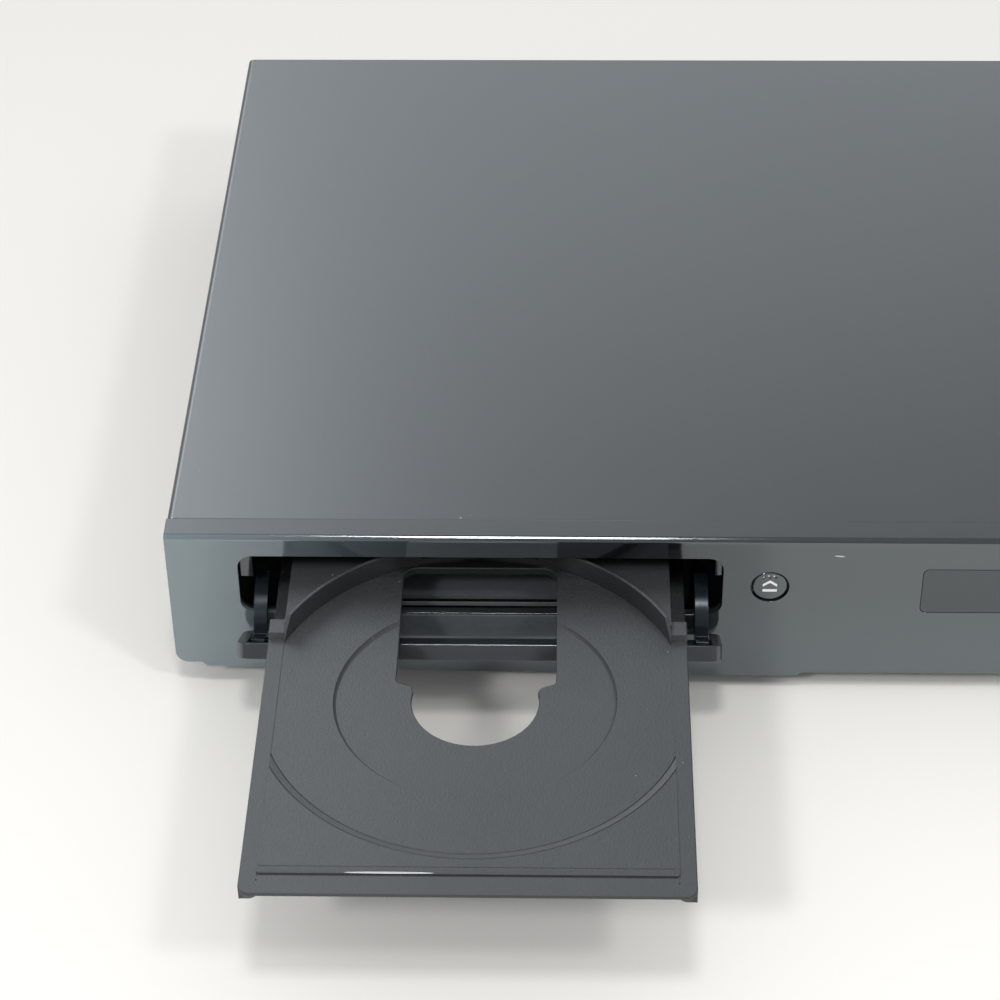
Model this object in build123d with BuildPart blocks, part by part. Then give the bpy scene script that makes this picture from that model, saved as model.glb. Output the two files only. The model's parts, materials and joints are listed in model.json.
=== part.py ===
import os
from math import acos, atan2, cos, degrees, pi, radians, sin, sqrt, tan

from build123d import *

os.makedirs("parts", exist_ok=True)

# Disc player with its tray out, lengths in millimetres.
# X runs from left to right across the front, the front faces -Y, Z is up from the table.

# Case
width = 430.0
height = 60.0
body_depth = 279.0
foot_height = 9.5
foot_radius = 11.0
foot_inset_x = 32.0
foot_inset_y = 34.0
cover_sheet = 0.8
cover_bend = 2.0
pan_sheet = 1.0
pan_flange = 11.0
pan_front_flange = 4.0
vent_width = 4.0
vent_length = 28.0
vent_pitch = 12.0
vent_row_pitch = 40.0
vent_columns = 9
rear_sheet = 1.0
seat_gap = 0.1
rear_lip = 5.0

# Fascia
fascia_depth = 8.6
fascia_wall = 2.6
fascia_shell = 2.2
fascia_end_height = 49.9
fascia_bow = 2.9
fascia_edge = 1.6
fascia_corner = 4.0
sill_drop = 1.4
sill_left_inset = 8.0
sill_length = 184.0

# Tray opening and door
opening_width = 145.2
opening_top_drop = 7.4
opening_height = 22.0
opening_corner = 4.5
door_gap = 0.4
door_depth = 5.0
door_skin_wall = 2.2
door_skirt = 3.2
door_web = 1.0
door_rim = 1.6
door_open_angle = 58.7
door_pivot_back = 8.65
door_pivot_drop = 37.6
door_arm_offset = 66.5
door_arm_width = 4.2
door_arm_inner = 12.5
door_arm_outer = 15.3
door_arm_web = 4.0
door_boss_radius = 3.2
door_pin_radius = 1.5
door_arm_start_angle = 80.0
door_arm_lip_angle = 170.0
bracket_gap = 0.4
bracket_foot = 2.0
pin_clearance = 0.08
bracket_wall = 2.6

# Tray
tray_from_left = 94.0
tray_width = 122.0
tray_reach = 126.2
tray_length = 176.0
tray_travel = 134.0
disc_ahead = 52.7
tray_rail_z = 45.0
tray_floor = 2.4
rail_width = 4.6
rail_height = 5.4
plateau_rise = 0.7
plateau_setback = 9.6
lip_height = 4.8
large_disc_radius = 61.0
large_disc_drop = 0.2
small_disc_radius = 40.5
small_disc_drop = 0.9
hub_radius = 18.2
window_width = 46.0
window_front = 1.7
window_back = 57.0
window_corner = 4.5
rear_wall_height = 6.6
rear_wall_thickness = 2.4
rear_wall_side = 56.6
raised_rail_rise = 2.1
raised_rail_start = 24.6

# Tray drive: rack under the tray, drive gear, belt and motor
gear_module = 1.0
gear_teeth = 20
gear_behind_face = 40.0
gear_thickness = 3.6
gear_below_rail = 6.2
gear_backlash = 0.25
pressure_angle = radians(20)
rack_from_tray_edge = 12.0
rack_back = 4.0
rib_drop = 9.5
pulley_radius = 14.0
pulley_thickness = 3.4
belt_thickness = 1.2
motor_pulley_radius = 3.6
motor_offset = 46.0
cable_width = 22.0
cable_thickness = 0.3
cable_forward = 40.0
motor_radius = 12.0
motor_flange = 3.0
motor_flange_sheet = 1.0
motor_shaft_radius = 0.8
axle_radius = 1.5
cable_end = 12.0

# Drive frame around the tray
frame_start = 24.0
frame_length = 172.0
frame_wall = 3.0
frame_floor = 2.0
frame_floor_z = 14.0
frame_play = 0.3
ledge_width = 3.2
ledge_thickness = 2.0
frame_window_width = 106.0
frame_window_start = 44.0
frame_window_length = 106.0

# Traverse with the spindle and the optical pickup
traverse_width = 92.0
traverse_plate = 1.6
traverse_behind_pivot = 4.0
traverse_side_gap = 2.0
traverse_z = 23.6
traverse_front = 17.0
traverse_pivot_behind = 100.0
traverse_pivot_radius = 2.0
turntable_radius = 13.5
turntable_top_z = 37.4
turntable_thickness = 2.6
turntable_cone_radius = 7.4
turntable_cone_height = 2.0
turntable_cone_taper = 1.2
turntable_hub_radius = 4.0
spindle_radius = 1.2
spindle_motor_radius = 13.0
spindle_motor_height = 6.5
traverse_lift = 9.0
rod_radius = 1.5
rod_offset = 24.0
rod_z = 30.0
rod_start = 18.0
sled_width = 40.0
sled_length = 30.0
sled_height = 8.0
sled_start = 21.0
sled_corner = 3.0
sled_ear_length = 18.0
sled_ear_inset = 3.0
sled_ear_half = 3.0
follower_length = 4.0
follower_half = 1.0
lens_ahead = 4.0
sled_travel = 34.0
rod_spare = 5.0
lens_radius = 3.4
lens_height = 0.9
screw_radius = 1.5
screw_offset = 33.0
screw_play = 0.1
holder_half = 2.6
sled_motor_radius = 5.0
sled_motor_length = 6.0
bearing_length = 2.9
cam_ahead = 24.0
cam_sheet = 1.6
cam_length = 46.0
cam_height = 24.0
cam_travel = 20.0
cam_pin_radius = 1.5
cam_slot_play = 0.15
cam_slot_spare = 2.0
cam_foot_depth = 5.0
cam_foot_sheet = 1.2
pivot_post_half = 3.0

# Disc clamp over the tray
bridge_sheet = 1.2
bridge_z = 53.2
bridge_depth = 50.0
puck_radius = 13.5
puck_flange = 2.5
puck_bottom_z = 48.8
puck_hole_play = 0.9
puck_recess = 2.6
puck_flange_sheet = 1.2
puck_way = 4.5

# Front buttons and display: place from the left end and drop from the top
eject_from_left = 180.7
eject_drop = 18.2
eject_radius = 5.3
stop_from_right = 100.0
play_from_right = 80.0
power_from_right = 40.0
power_radius = 7.0
button_play = 0.5
button_inset = 0.3
button_flange = 1.3
button_stem_radius = 2.0
button_travel = 0.6
display_from_eject = 45.3
display_from_stop = 20.0
window_play = 0.1
display_glass_depth = 5.0
switch_half = 3.0
stem_reach = 4.0
display_height = 17.0
display_drop = 11.0

# Boards and sockets inside the case
board_sheet = 1.6
standoff_height = 6.0
standoff_radius = 3.0
main_board_depth = 150.0
main_board_from_left = 166.0
board_gap = 8.0
power_board_width = 78.0
power_board_depth = 170.0
power_board_side = 8.0
board_corner_inset = 6.0
board_from_rear = 6.0
front_board_back = 12.6
front_board_height = 34.0
post_radius = 2.5
post_from_eject = 14.0
post_from_display = 5.0
post_above_button = 7.0
post_below_button = 15.0
hdmi_from_board = 30.0
lan_from_hdmi = 26.0
optical_from_lan = 22.0
jack_from_optical = 20.0
jack_rise = 10.0
jack_rows = 2
jack_block_depth = 10.0
socket_body_depth = 12.0
hdmi_size = (15.2, 6.0)
hdmi_mouth = (14.0, 4.6)
hdmi_mouth_depth = 9.0
hdmi_reach = 0.8
lan_size = (16.0, 13.4)
lan_mouth = (12.0, 8.4)
lan_mouth_depth = 10.0
lan_reach = 0.6
optical_size = (9.8, 9.8)
optical_mouth = (6.2, 6.2)
optical_mouth_depth = 8.0
optical_reach = 1.2
plate_window_left = 6.4
plate_window_right = 4.6
plate_window_below = 4.0
plate_window_above = 6.5
plate_rim = 2.5
plate_top_rim = 7.0
inlet_size = (22.0, 16.0)
inlet_from_board = 50.0
inlet_reach = 1.0
inlet_lobe_radius = 4.4
inlet_pin_offset = 3.6
inlet_pin_radius = 1.2
inlet_bridge_height = 6.8
inlet_mouth_depth = 12.0
inlet_pin_short = 3.0
inlet_base = 5.2
jack_reach = 8.0
jack_radius = 4.1
jack_neck_radius = 3.8
jack_neck = 0.5
jack_pin_radius = 1.65
jack_pitch = 14.0
fan_size = 40.0
fan_depth = 10.0
fan_clear = 0.5
fan_hub_radius = 8.0
fan_blades = 7
fan_before_board = 26.0
fan_rim = 1.5
fan_corner = 3.0
fan_strut = 2.0
fan_strut_depth = 1.5
fan_axle_radius = 1.0
fan_axle_length = 5.0
fan_blade_sheet = 0.9
fan_blade_chord = 8.0
fan_blade_pitch = 40.0
fan_blade_play = 0.8
fan_end_play = 0.4
guard_ring_radii = (6.0, 13.0)
guard_wire = 2.0
guard_bar = 2.4
sink_half = 17.0
sink_base = 4.0
fin_count = 9
fin_height = 11.0
fin_sheet = 1.4
transformer_from_left = 40.0
transformer_from_front = 70.0
core_half = (13.0, 14.0)
core_height = 22.0
winding_half = (17.0, 8.0)
winding_inset = 4.0
frame_foot_inset = 8.0

# Screws
screw_head_radius = 3.0
screw_head_height = 1.6
side_screw_inset = 40.0
end_screw_inset = 12.0

# Places worked out from the sizes above
left_x = -width / 2
tray_x = left_x + tray_from_left
face_y = (tray_reach - body_depth - jack_reach) / 2
seam_y = face_y + fascia_depth
back_y = face_y + body_depth
pan_z = foot_height
inner_x = width / 2 - cover_sheet - seat_gap
stop_from_left = width - stop_from_right
play_from_left = width - play_from_right
power_from_left = width - power_from_right
display_from_left = eject_from_left + display_from_eject
display_width = stop_from_left - display_from_stop - display_from_left
main_board_x = left_x + main_board_from_left
power_x = -left_x - power_board_side - power_board_width
main_board_width = power_x - board_gap - main_board_x
rod_length = sled_start - rod_start + sled_length + sled_travel + rod_spare
opening_top_z = height - opening_top_drop
opening_bottom_z = opening_top_z - opening_height
pivot_y = face_y + door_pivot_back
pivot_z = height - door_pivot_drop
disc_y = face_y - disc_ahead
tray_front_y = face_y - tray_reach
tray_back_y = tray_front_y + tray_length
spindle_y = disc_y + tray_travel
floor_z = tray_rail_z - large_disc_drop
floor_under_z = floor_z - tray_floor
pitch_radius = gear_module * gear_teeth / 2
gear_y = face_y + gear_behind_face
rack_x = tray_x + tray_width / 2 - rack_from_tray_edge
gear_x = rack_x - rack_back / 2 - gear_module - pitch_radius
rib_bottom_z = tray_rail_z - rib_drop
gear_top_z = tray_rail_z - gear_below_rail
motor_x = gear_x - motor_offset
frame_y = face_y + frame_start
frame_inner = tray_width / 2 + frame_play
frame_end_y = frame_y + frame_length
traverse_y = spindle_y - traverse_front
traverse_pivot_y = spindle_y + traverse_pivot_behind
turntable_under_z = turntable_top_z - turntable_thickness
cam_y = spindle_y - cam_ahead
pin_reach = traverse_pivot_y - cam_y
traverse_swing = traverse_lift / traverse_pivot_behind
pin_lift = pin_reach * sin(traverse_swing)
front_board_y = face_y + front_board_back
board_back_y = back_y - rear_sheet - board_from_rear
cable_y = board_back_y - main_board_depth + cable_forward


def block(x_span, y_span, z_span, mode=Mode.ADD):
    """A plain block between two values on each axis."""
    size = [abs(span[1] - span[0]) for span in (x_span, y_span, z_span)]
    centre = [(span[0] + span[1]) / 2 for span in (x_span, y_span, z_span)]
    with Locations(tuple(centre)):
        Box(*size, mode=mode)


def around(centre, half):
    return (centre - half, centre + half)


def disc(centre, radius, z_span, mode=Mode.ADD):
    """A round block standing along Z."""
    with Locations((centre[0], centre[1], (z_span[0] + z_span[1]) / 2)):
        Cylinder(radius, abs(z_span[1] - z_span[0]), mode=mode)


def bar_along_y(x, z, radius, y_span, mode=Mode.ADD):
    with Locations((x, (y_span[0] + y_span[1]) / 2, z)):
        Cylinder(radius, abs(y_span[1] - y_span[0]), rotation=(90, 0, 0), mode=mode)


def bar_along_x(y, z, radius, x_span, mode=Mode.ADD):
    with Locations(((x_span[0] + x_span[1]) / 2, y, z)):
        Cylinder(radius, abs(x_span[1] - x_span[0]), rotation=(0, 90, 0), mode=mode)


def save(builder, name):
    builder.part.label = name
    export_step(builder.part, f"parts/{name}.step")


# Rubber feet
feet_x = [left_x + foot_inset_x, -left_x - foot_inset_x]
feet_y = [face_y + foot_inset_y, back_y - foot_inset_y]
with BuildPart() as rubber_feet:
    for foot_x in feet_x:
        for foot_y in feet_y:
            disc((foot_x, foot_y), foot_radius, (0, foot_height))
    foot_rims = rubber_feet.edges().filter_by(GeomType.CIRCLE).group_by(Axis.Z)[0]
    chamfer(foot_rims, foot_radius / 10)
save(rubber_feet, "rubber_feet")

# Base pan: folded sheet with flanges inside the cover
pan_x = inner_x
pan_top_z = pan_z + pan_sheet
pan_y = (seam_y, back_y - rear_sheet)
with BuildPart() as base_pan:
    block((-pan_x, pan_x), pan_y, (pan_z, pan_z + pan_flange))
    block(
        (-pan_x + pan_sheet, pan_x - pan_sheet),
        (pan_y[0] + pan_sheet, pan_y[1]),
        (pan_top_z, pan_z + pan_flange),
        Mode.SUBTRACT,
    )
    block(
        (-pan_x + pan_sheet, pan_x - pan_sheet),
        (pan_y[0] - 1, pan_y[0] + 2 * pan_sheet),
        (pan_z + pan_front_flange, pan_z + pan_flange + 1),
        Mode.SUBTRACT,
    )
    with Locations((main_board_x + main_board_width / 2, back_y - body_depth / 2, pan_z)):
        with GridLocations(vent_pitch, vent_row_pitch, vent_columns, 2):
            Box(vent_width, vent_length, 4 * pan_sheet, mode=Mode.SUBTRACT)
save(base_pan, "base_pan")

# Top cover: one folded sheet, open at the front and below, with a short lip behind
with BuildPart() as top_cover:
    with BuildSketch(Plane.XZ.offset(-seam_y)):
        with Locations((0, (pan_z + height) / 2)):
            Rectangle(width, height - pan_z)
        fillet(vertices().group_by(Axis.Y)[-1], cover_bend)
    extrude(amount=-(back_y - seam_y))
    block(
        (left_x + cover_sheet, -left_x - cover_sheet),
        (seam_y, back_y + seat_gap),
        (pan_z, height - cover_sheet),
        Mode.SUBTRACT,
    )
    block(
        around(0, width / 2 - cover_sheet),
        (back_y - rear_sheet - cover_sheet - seat_gap, back_y - rear_sheet - seat_gap),
        (height - cover_sheet - rear_lip, height - cover_sheet),
    )
save(top_cover, "top_cover")

# Fascia: glossy shell open at the back, with a bowed lower edge
fascia_low_z = height - fascia_end_height
bow_radius = ((width / 2) ** 2 + fascia_bow**2) / (2 * fascia_bow)
sill_start = left_x + sill_left_inset
sill_end = sill_start + sill_length


def bow_point(x, drop=0.0):
    """A point of the bowed lower edge, moved down by drop."""
    return (x, fascia_low_z - fascia_bow + bow_radius - sqrt(bow_radius**2 - x**2) - drop)


def bow_arc(x_from, x_to, drop=0.0):
    ThreePointArc(bow_point(x_from, drop), bow_point((x_from + x_to) / 2, drop), bow_point(x_to, drop))


button_spots = (
    (eject_from_left, eject_radius),
    (stop_from_left, eject_radius),
    (play_from_left, eject_radius),
    (power_from_left, power_radius),
)
display_x = left_x + display_from_left + display_width / 2
display_z = height - display_drop - display_height / 2
button_z = height - eject_drop
with BuildPart() as fascia:
    with BuildSketch(Plane.XZ.offset(-face_y)):
        with BuildLine():
            Polyline(bow_point(left_x), (left_x, height), (-left_x, height), bow_point(-left_x))
            bow_arc(-left_x, sill_end)
            Line(bow_point(sill_end), bow_point(sill_end - sill_drop, sill_drop))
            bow_arc(sill_end - sill_drop, sill_start + sill_drop, sill_drop)
            Line(bow_point(sill_start + sill_drop, sill_drop), bow_point(sill_start))
            bow_arc(sill_start, left_x)
        make_face()
        low_left = vertices().group_by(Axis.X)[0].sort_by(Axis.Y)[:1]
        low_right = vertices().group_by(Axis.X)[-1].sort_by(Axis.Y)[:1]
        fillet(low_left + low_right, fascia_corner)
    extrude(amount=-fascia_depth)
    fillet(fascia.faces().sort_by(Axis.Y)[0].edges().sort_by(Axis.Z)[-1], fascia_edge)
    inner_left = left_x + fascia_shell
    with BuildSketch(Plane.XZ.offset(-face_y - fascia_wall)):
        with BuildLine():
            Polyline(
                bow_point(inner_left, -2 * fascia_shell),
                (inner_left, height - fascia_shell),
                (-inner_left, height - fascia_shell),
                bow_point(-inner_left, -2 * fascia_shell),
            )
            bow_arc(-inner_left, inner_left, -2 * fascia_shell)
        make_face()
    extrude(amount=-fascia_depth, mode=Mode.SUBTRACT)
    with BuildSketch(Plane.XZ.offset(-face_y)):
        with Locations((tray_x, (opening_top_z + opening_bottom_z) / 2)):
            RectangleRounded(opening_width, opening_height, opening_corner)
        for from_left, radius in button_spots:
            with Locations((left_x + from_left, button_z)):
                Circle(radius + button_play)
        with Locations((display_x, display_z)):
            RectangleRounded(display_width, display_height, cover_bend)
    extrude(amount=-fascia_wall, mode=Mode.SUBTRACT)
    for post_x in (
        left_x + eject_from_left + post_from_eject,
        display_x - display_width / 2 - post_from_display,
        -left_x - 3 * post_radius,
    ):
        for post_z in (button_z + post_above_button, button_z - post_below_button):
            bar_along_y(post_x, post_z, post_radius, (face_y + fascia_wall, front_board_y))
save(fascia, "fascia")

# Smoked display window and the display behind it
with BuildPart() as display_window:
    with BuildSketch(Plane.XZ.offset(-face_y)):
        with Locations((display_x, display_z)):
            RectangleRounded(display_width - 2 * window_play, display_height - 2 * window_play, cover_bend)
    extrude(amount=-fascia_wall)
save(display_window, "display_window")

with BuildPart() as display_module:
    block(
        around(display_x, display_width / 2 - fascia_shell),
        (front_board_y - display_glass_depth, front_board_y),
        around(display_z, display_height / 2 - fascia_shell / 2),
    )
    fillet(display_module.edges().filter_by(Axis.Y), fascia_edge / 2)
save(display_module, "display_module")

# Front board with a tact switch behind each button
front_board_left = left_x + eject_from_left - eject_radius * 2
front_board_right = -left_x - fascia_shell * 4
front_board_top = height - fascia_shell * 3
switch_gap = button_travel + button_inset
stem_back_y = face_y + fascia_wall + stem_reach
with BuildPart() as front_board:
    block(
        (front_board_left, front_board_right),
        (front_board_y, front_board_y + board_sheet),
        (front_board_top - front_board_height, front_board_top),
    )
    for from_left, radius in button_spots:
        block(
            around(left_x + from_left, switch_half),
            (stem_back_y + switch_gap, front_board_y),
            around(button_z, switch_half),
        )
save(front_board, "front_board")


def push_button(name, from_left, radius, dots=False):
    """Round cap in its hole, a flange behind the fascia wall and a stem to the switch."""
    x = left_x + from_left
    z = height - eject_drop
    wall_y = face_y + fascia_wall
    with BuildPart() as button:
        bar_along_y(x, z, radius, (face_y + button_inset, wall_y + button_play))
        cap_rim = button.edges().filter_by(GeomType.CIRCLE).sort_by(Axis.Y)[0]
        fillet(cap_rim, button_inset * 2)
        bar_along_y(x, z, radius + button_flange, (wall_y + button_inset, wall_y + 2 * button_inset + 1))
        bar_along_y(x, z, button_stem_radius, (wall_y, stem_back_y))
        if dots:
            for step in (-1, 0, 1):
                with Locations((x + step * radius / 3, face_y + button_inset, z + radius * 0.62)):
                    Sphere(radius / 14)
    save(button, name)


push_button("eject_button", eject_from_left, eject_radius, dots=True)
push_button("stop_button", stop_from_left, eject_radius)
push_button("play_button", play_from_left, eject_radius)
push_button("power_button", power_from_left, power_radius)

# Rear panel with holes for the sockets and the fan
socket_z = pan_top_z + standoff_height + board_sheet
hdmi_x = main_board_x + hdmi_from_board
lan_x = hdmi_x + lan_from_hdmi
optical_x = lan_x + optical_from_lan
jack_x = optical_x + jack_from_optical
jack_columns = int((main_board_x + main_board_width - jack_x) / jack_pitch)
jack_z = socket_z + jack_rise
inlet_x = power_x + inlet_from_board
fan_x = main_board_x - fan_before_board
fan_bore = fan_size / 2 - fan_rim
fan_z = pan_top_z + fan_size / 2 + fan_clear
rear_y = (back_y - rear_sheet, back_y)
panel_x = inner_x - pan_sheet
jack_spots = [
    (jack_x + column * jack_pitch, jack_z + row * jack_pitch)
    for column in range(jack_columns)
    for row in range(jack_rows)
]


def socket_centre_z(size):
    return socket_z + size[1] / 2


window_x = (
    hdmi_x - hdmi_size[0] / 2 - plate_window_left,
    optical_x + optical_size[0] / 2 + plate_window_right,
)
window_z = (socket_z - plate_window_below, socket_z + lan_size[1] + plate_window_above)

with BuildPart() as rear_panel:
    block((-panel_x, panel_x), rear_y, (pan_z, height - cover_sheet - seat_gap))
    block(window_x, (rear_y[0] - 1, rear_y[1] + 1), window_z, Mode.SUBTRACT)
    block(
        around(inlet_x, inlet_size[0] / 2 + seat_gap),
        (rear_y[0] - 1, rear_y[1] + 1),
        around(socket_centre_z(inlet_size), inlet_size[1] / 2 + seat_gap),
        Mode.SUBTRACT,
    )
    for spot_x, spot_z in jack_spots:
        bar_along_y(spot_x, spot_z, jack_radius + seat_gap, (rear_y[0] - 1, rear_y[1] + 1), Mode.SUBTRACT)
    bar_along_y(fan_x, fan_z, fan_bore, (rear_y[0] - 1, rear_y[1] + 1), Mode.SUBTRACT)
    for turn in (45, 135):
        with Locations(Location((fan_x, back_y - rear_sheet / 2, fan_z), (0, turn, 0))):
            Box(fan_size, rear_sheet, guard_bar)
    with BuildSketch(Plane.XZ.offset(-rear_y[0])):
        for ring in guard_ring_radii:
            with Locations((fan_x, fan_z)):
                Circle(ring)
                Circle(ring - guard_wire, mode=Mode.SUBTRACT)
    extrude(amount=-rear_sheet)
save(rear_panel, "rear_panel")

# Socket plate: a small sheet screwed behind the rear panel's window
plate_y = (rear_y[0] - rear_sheet, rear_y[0])
plate_z = (window_z[0] - plate_rim, window_z[1] + plate_top_rim)
with BuildPart() as socket_plate:
    block((window_x[0] - plate_rim, window_x[1] + plate_rim), plate_y, plate_z)
    for x, size in (
        (hdmi_x, hdmi_size),
        (lan_x, lan_size),
        (optical_x, optical_size),
    ):
        block(
            around(x, size[0] / 2 + seat_gap),
            (plate_y[0] - 1, plate_y[1] + 1),
            around(socket_centre_z(size), size[1] / 2 + seat_gap),
            Mode.SUBTRACT,
        )
save(socket_plate, "socket_plate")


# Rear sockets
def cased_socket(name, x, size, mouth, mouth_depth, reach):
    """A boxy socket through the rear panel with its mouth cut in."""
    z = socket_centre_z(size)
    with BuildPart() as socket:
        block(
            around(x, size[0] / 2),
            (back_y - rear_sheet - socket_body_depth, back_y + reach),
            (socket_z, z + size[1] / 2),
        )
        block(
            around(x, mouth[0] / 2),
            (back_y + reach - mouth_depth, back_y + reach),
            around(z, mouth[1] / 2),
            Mode.SUBTRACT,
        )
    save(socket, name)


cased_socket("hdmi_socket", hdmi_x, hdmi_size, hdmi_mouth, hdmi_mouth_depth, hdmi_reach)
cased_socket("lan_socket", lan_x, lan_size, lan_mouth, lan_mouth_depth, lan_reach)
cased_socket("optical_socket", optical_x, optical_size, optical_mouth, optical_mouth_depth, optical_reach)

# Mains inlet with two pins in a figure-eight mouth
inlet_z = socket_centre_z(inlet_size)
inlet_face_y = back_y + inlet_reach
inlet_floor_y = inlet_face_y - inlet_mouth_depth
with BuildPart() as mains_inlet:
    block(
        around(inlet_x, inlet_size[0] / 2),
        (inlet_floor_y - inlet_base, inlet_face_y),
        (socket_z, inlet_z + inlet_size[1] / 2),
    )
    with BuildSketch(Plane.XZ.offset(-inlet_face_y)):
        with Locations((inlet_x, inlet_z)):
            with Locations((-inlet_pin_offset, 0), (inlet_pin_offset, 0)):
                Circle(inlet_lobe_radius)
            Rectangle(2 * inlet_pin_offset, inlet_bridge_height)
    extrude(amount=inlet_mouth_depth, mode=Mode.SUBTRACT)
    for side in (-1, 1):
        bar_along_y(
            inlet_x + side * inlet_pin_offset,
            inlet_z,
            inlet_pin_radius,
            (inlet_floor_y, inlet_face_y - inlet_pin_short),
        )
save(mains_inlet, "mains_inlet")

# Jacks in one block, two rows
with BuildPart() as av_jacks:
    block(
        (jack_x - jack_pitch / 2, jack_x + (jack_columns - 0.5) * jack_pitch),
        (back_y - rear_sheet - jack_block_depth, back_y - rear_sheet),
        (socket_z, jack_z + (jack_rows - 0.5) * jack_pitch),
    )
    for spot_x, spot_z in jack_spots:
        bar_along_y(spot_x, spot_z, jack_neck_radius, (back_y - rear_sheet, back_y + jack_neck))
        bar_along_y(spot_x, spot_z, jack_radius, (back_y + jack_neck, back_y + jack_reach))
        bar_along_y(
            spot_x,
            spot_z,
            jack_pin_radius,
            (back_y - jack_block_depth / 2, back_y + jack_reach),
            Mode.SUBTRACT,
        )
save(av_jacks, "av_jacks")

# Cooling fan behind the rear panel
fan_y = (back_y - rear_sheet - fan_depth, back_y - rear_sheet)
rotor_y = (fan_y[0] + fan_strut_depth + fan_end_play, fan_y[1] - fan_blade_play)
with BuildPart() as fan_housing:
    block(around(fan_x, fan_size / 2), fan_y, around(fan_z, fan_size / 2))
    fillet(fan_housing.edges().filter_by(Axis.Y), fan_corner)
    bar_along_y(fan_x, fan_z, fan_bore, fan_y, Mode.SUBTRACT)
    for turn in (0, 60, 120):
        with Locations(Location((fan_x, fan_y[0] + fan_strut_depth / 2, fan_z), (0, turn, 0))):
            Box(fan_size - 2 * seat_gap, fan_strut_depth, fan_strut)
    bar_along_y(fan_x, fan_z, fan_hub_radius, (fan_y[0], fan_y[0] + fan_strut_depth))
    bar_along_y(fan_x, fan_z, fan_axle_radius, (fan_y[0], fan_y[0] + fan_axle_length))
    block(around(fan_x, fan_size / 2), fan_y, around(fan_z, fan_size / 2), Mode.INTERSECT)
save(fan_housing, "fan_housing")

blade_radius = fan_bore - fan_blade_play
blade_length = blade_radius - fan_hub_radius + fan_strut
with BuildPart() as fan_rotor:
    bar_along_y(fan_x, fan_z, fan_hub_radius - fan_end_play, rotor_y)
    for blade in range(fan_blades):
        hub = Location((fan_x, (fan_y[0] + fan_y[1]) / 2, fan_z), (0, blade * 360 / fan_blades, 0))
        with Locations(hub * Location((blade_radius - blade_length / 2, 0, 0), (fan_blade_pitch, 0, 0))):
            Box(blade_length, fan_blade_sheet, fan_blade_chord)
    bar_along_y(fan_x, fan_z, blade_radius, rotor_y, Mode.INTERSECT)
    bar_along_y(
        fan_x,
        fan_z,
        fan_axle_radius + pin_clearance,
        (fan_y[0], fan_y[0] + fan_axle_length + 2 * seat_gap),
        Mode.SUBTRACT,
    )
save(fan_rotor, "fan_rotor")

# Main board, its chips and the heat sink
board_z = pan_top_z + standoff_height
main_y = (board_back_y - main_board_depth, board_back_y)
# Each chip: share of the board across and along, half its side and its height
chip_spots = [
    (0.30, 0.30, 9.0, 1.6),
    (0.62, 0.28, 7.0, 1.4),
    (0.78, 0.55, 8.0, 1.4),
    (0.20, 0.62, 6.0, 1.2),
]
with BuildPart() as main_board:
    block((main_board_x, main_board_x + main_board_width), main_y, (board_z, board_z + board_sheet))
save(main_board, "main_board")

with BuildPart() as board_chips:
    for across, along, half, rise in chip_spots:
        block(
            around(main_board_x + across * main_board_width, half),
            around(main_y[0] + along * main_board_depth, half),
            (board_z + board_sheet, board_z + board_sheet + rise),
        )
save(board_chips, "board_chips")

sink_x = main_board_x + main_board_width / 2
sink_y = main_y[0] + main_board_depth / 2
part_z = board_z + board_sheet
with BuildPart() as heat_sink:
    block(around(sink_x, sink_half), around(sink_y, sink_half), (part_z, part_z + sink_base))
    with Locations((sink_x, sink_y, part_z + sink_base + fin_height / 2)):
        with GridLocations(2 * sink_half / fin_count, 1, fin_count, 1):
            Box(fin_sheet, 2 * sink_half, fin_height)
save(heat_sink, "heat_sink")

# Power board with its transformer and capacitors
power_y = (board_back_y - power_board_depth, board_back_y)
with BuildPart() as power_board:
    block((power_x, power_x + power_board_width), power_y, (board_z, board_z + board_sheet))
save(power_board, "power_board")

core_x = power_x + transformer_from_left
core_y = power_y[0] + transformer_from_front
with BuildPart() as power_transformer:
    block(around(core_x, core_half[0]), around(core_y, core_half[1]), (part_z, part_z + core_height))
    block(
        around(core_x, winding_half[0]),
        around(core_y, winding_half[1]),
        (part_z + winding_inset, part_z + core_height - winding_inset),
    )
save(power_transformer, "power_transformer")

# Each capacitor: place across and along the board, radius and height
capacitors = [
    (14.0, 120.0, 9.0, 26.0),
    (60.0, 112.0, 5.0, 18.0),
    (24.0, 32.0, 5.0, 16.0),
    (40.0, 30.0, 5.0, 16.0),
    (58.0, 36.0, 4.0, 13.0),
]
with BuildPart() as power_capacitors:
    for across, along, radius, rise in capacitors:
        disc((power_x + across, power_y[0] + along), radius, (part_z, part_z + rise))
save(power_capacitors, "power_capacitors")

# Standoffs under both boards
standoff_spots = [
    (x, y)
    for x_pair, y_pair in (
        ((main_board_x, main_board_x + main_board_width), main_y),
        ((power_x, power_x + power_board_width), power_y),
    )
    for x in (x_pair[0] + board_corner_inset, x_pair[1] - board_corner_inset)
    for y in (y_pair[0] + board_corner_inset, y_pair[1] - board_corner_inset)
]
with BuildPart() as standoffs:
    for spot in standoff_spots:
        disc(spot, standoff_radius, (pan_top_z, board_z))
save(standoffs, "standoffs")

with BuildPart() as board_screws:
    for spot in standoff_spots:
        disc(spot, screw_head_radius, (part_z, part_z + screw_head_height))
save(board_screws, "board_screws")

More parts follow.
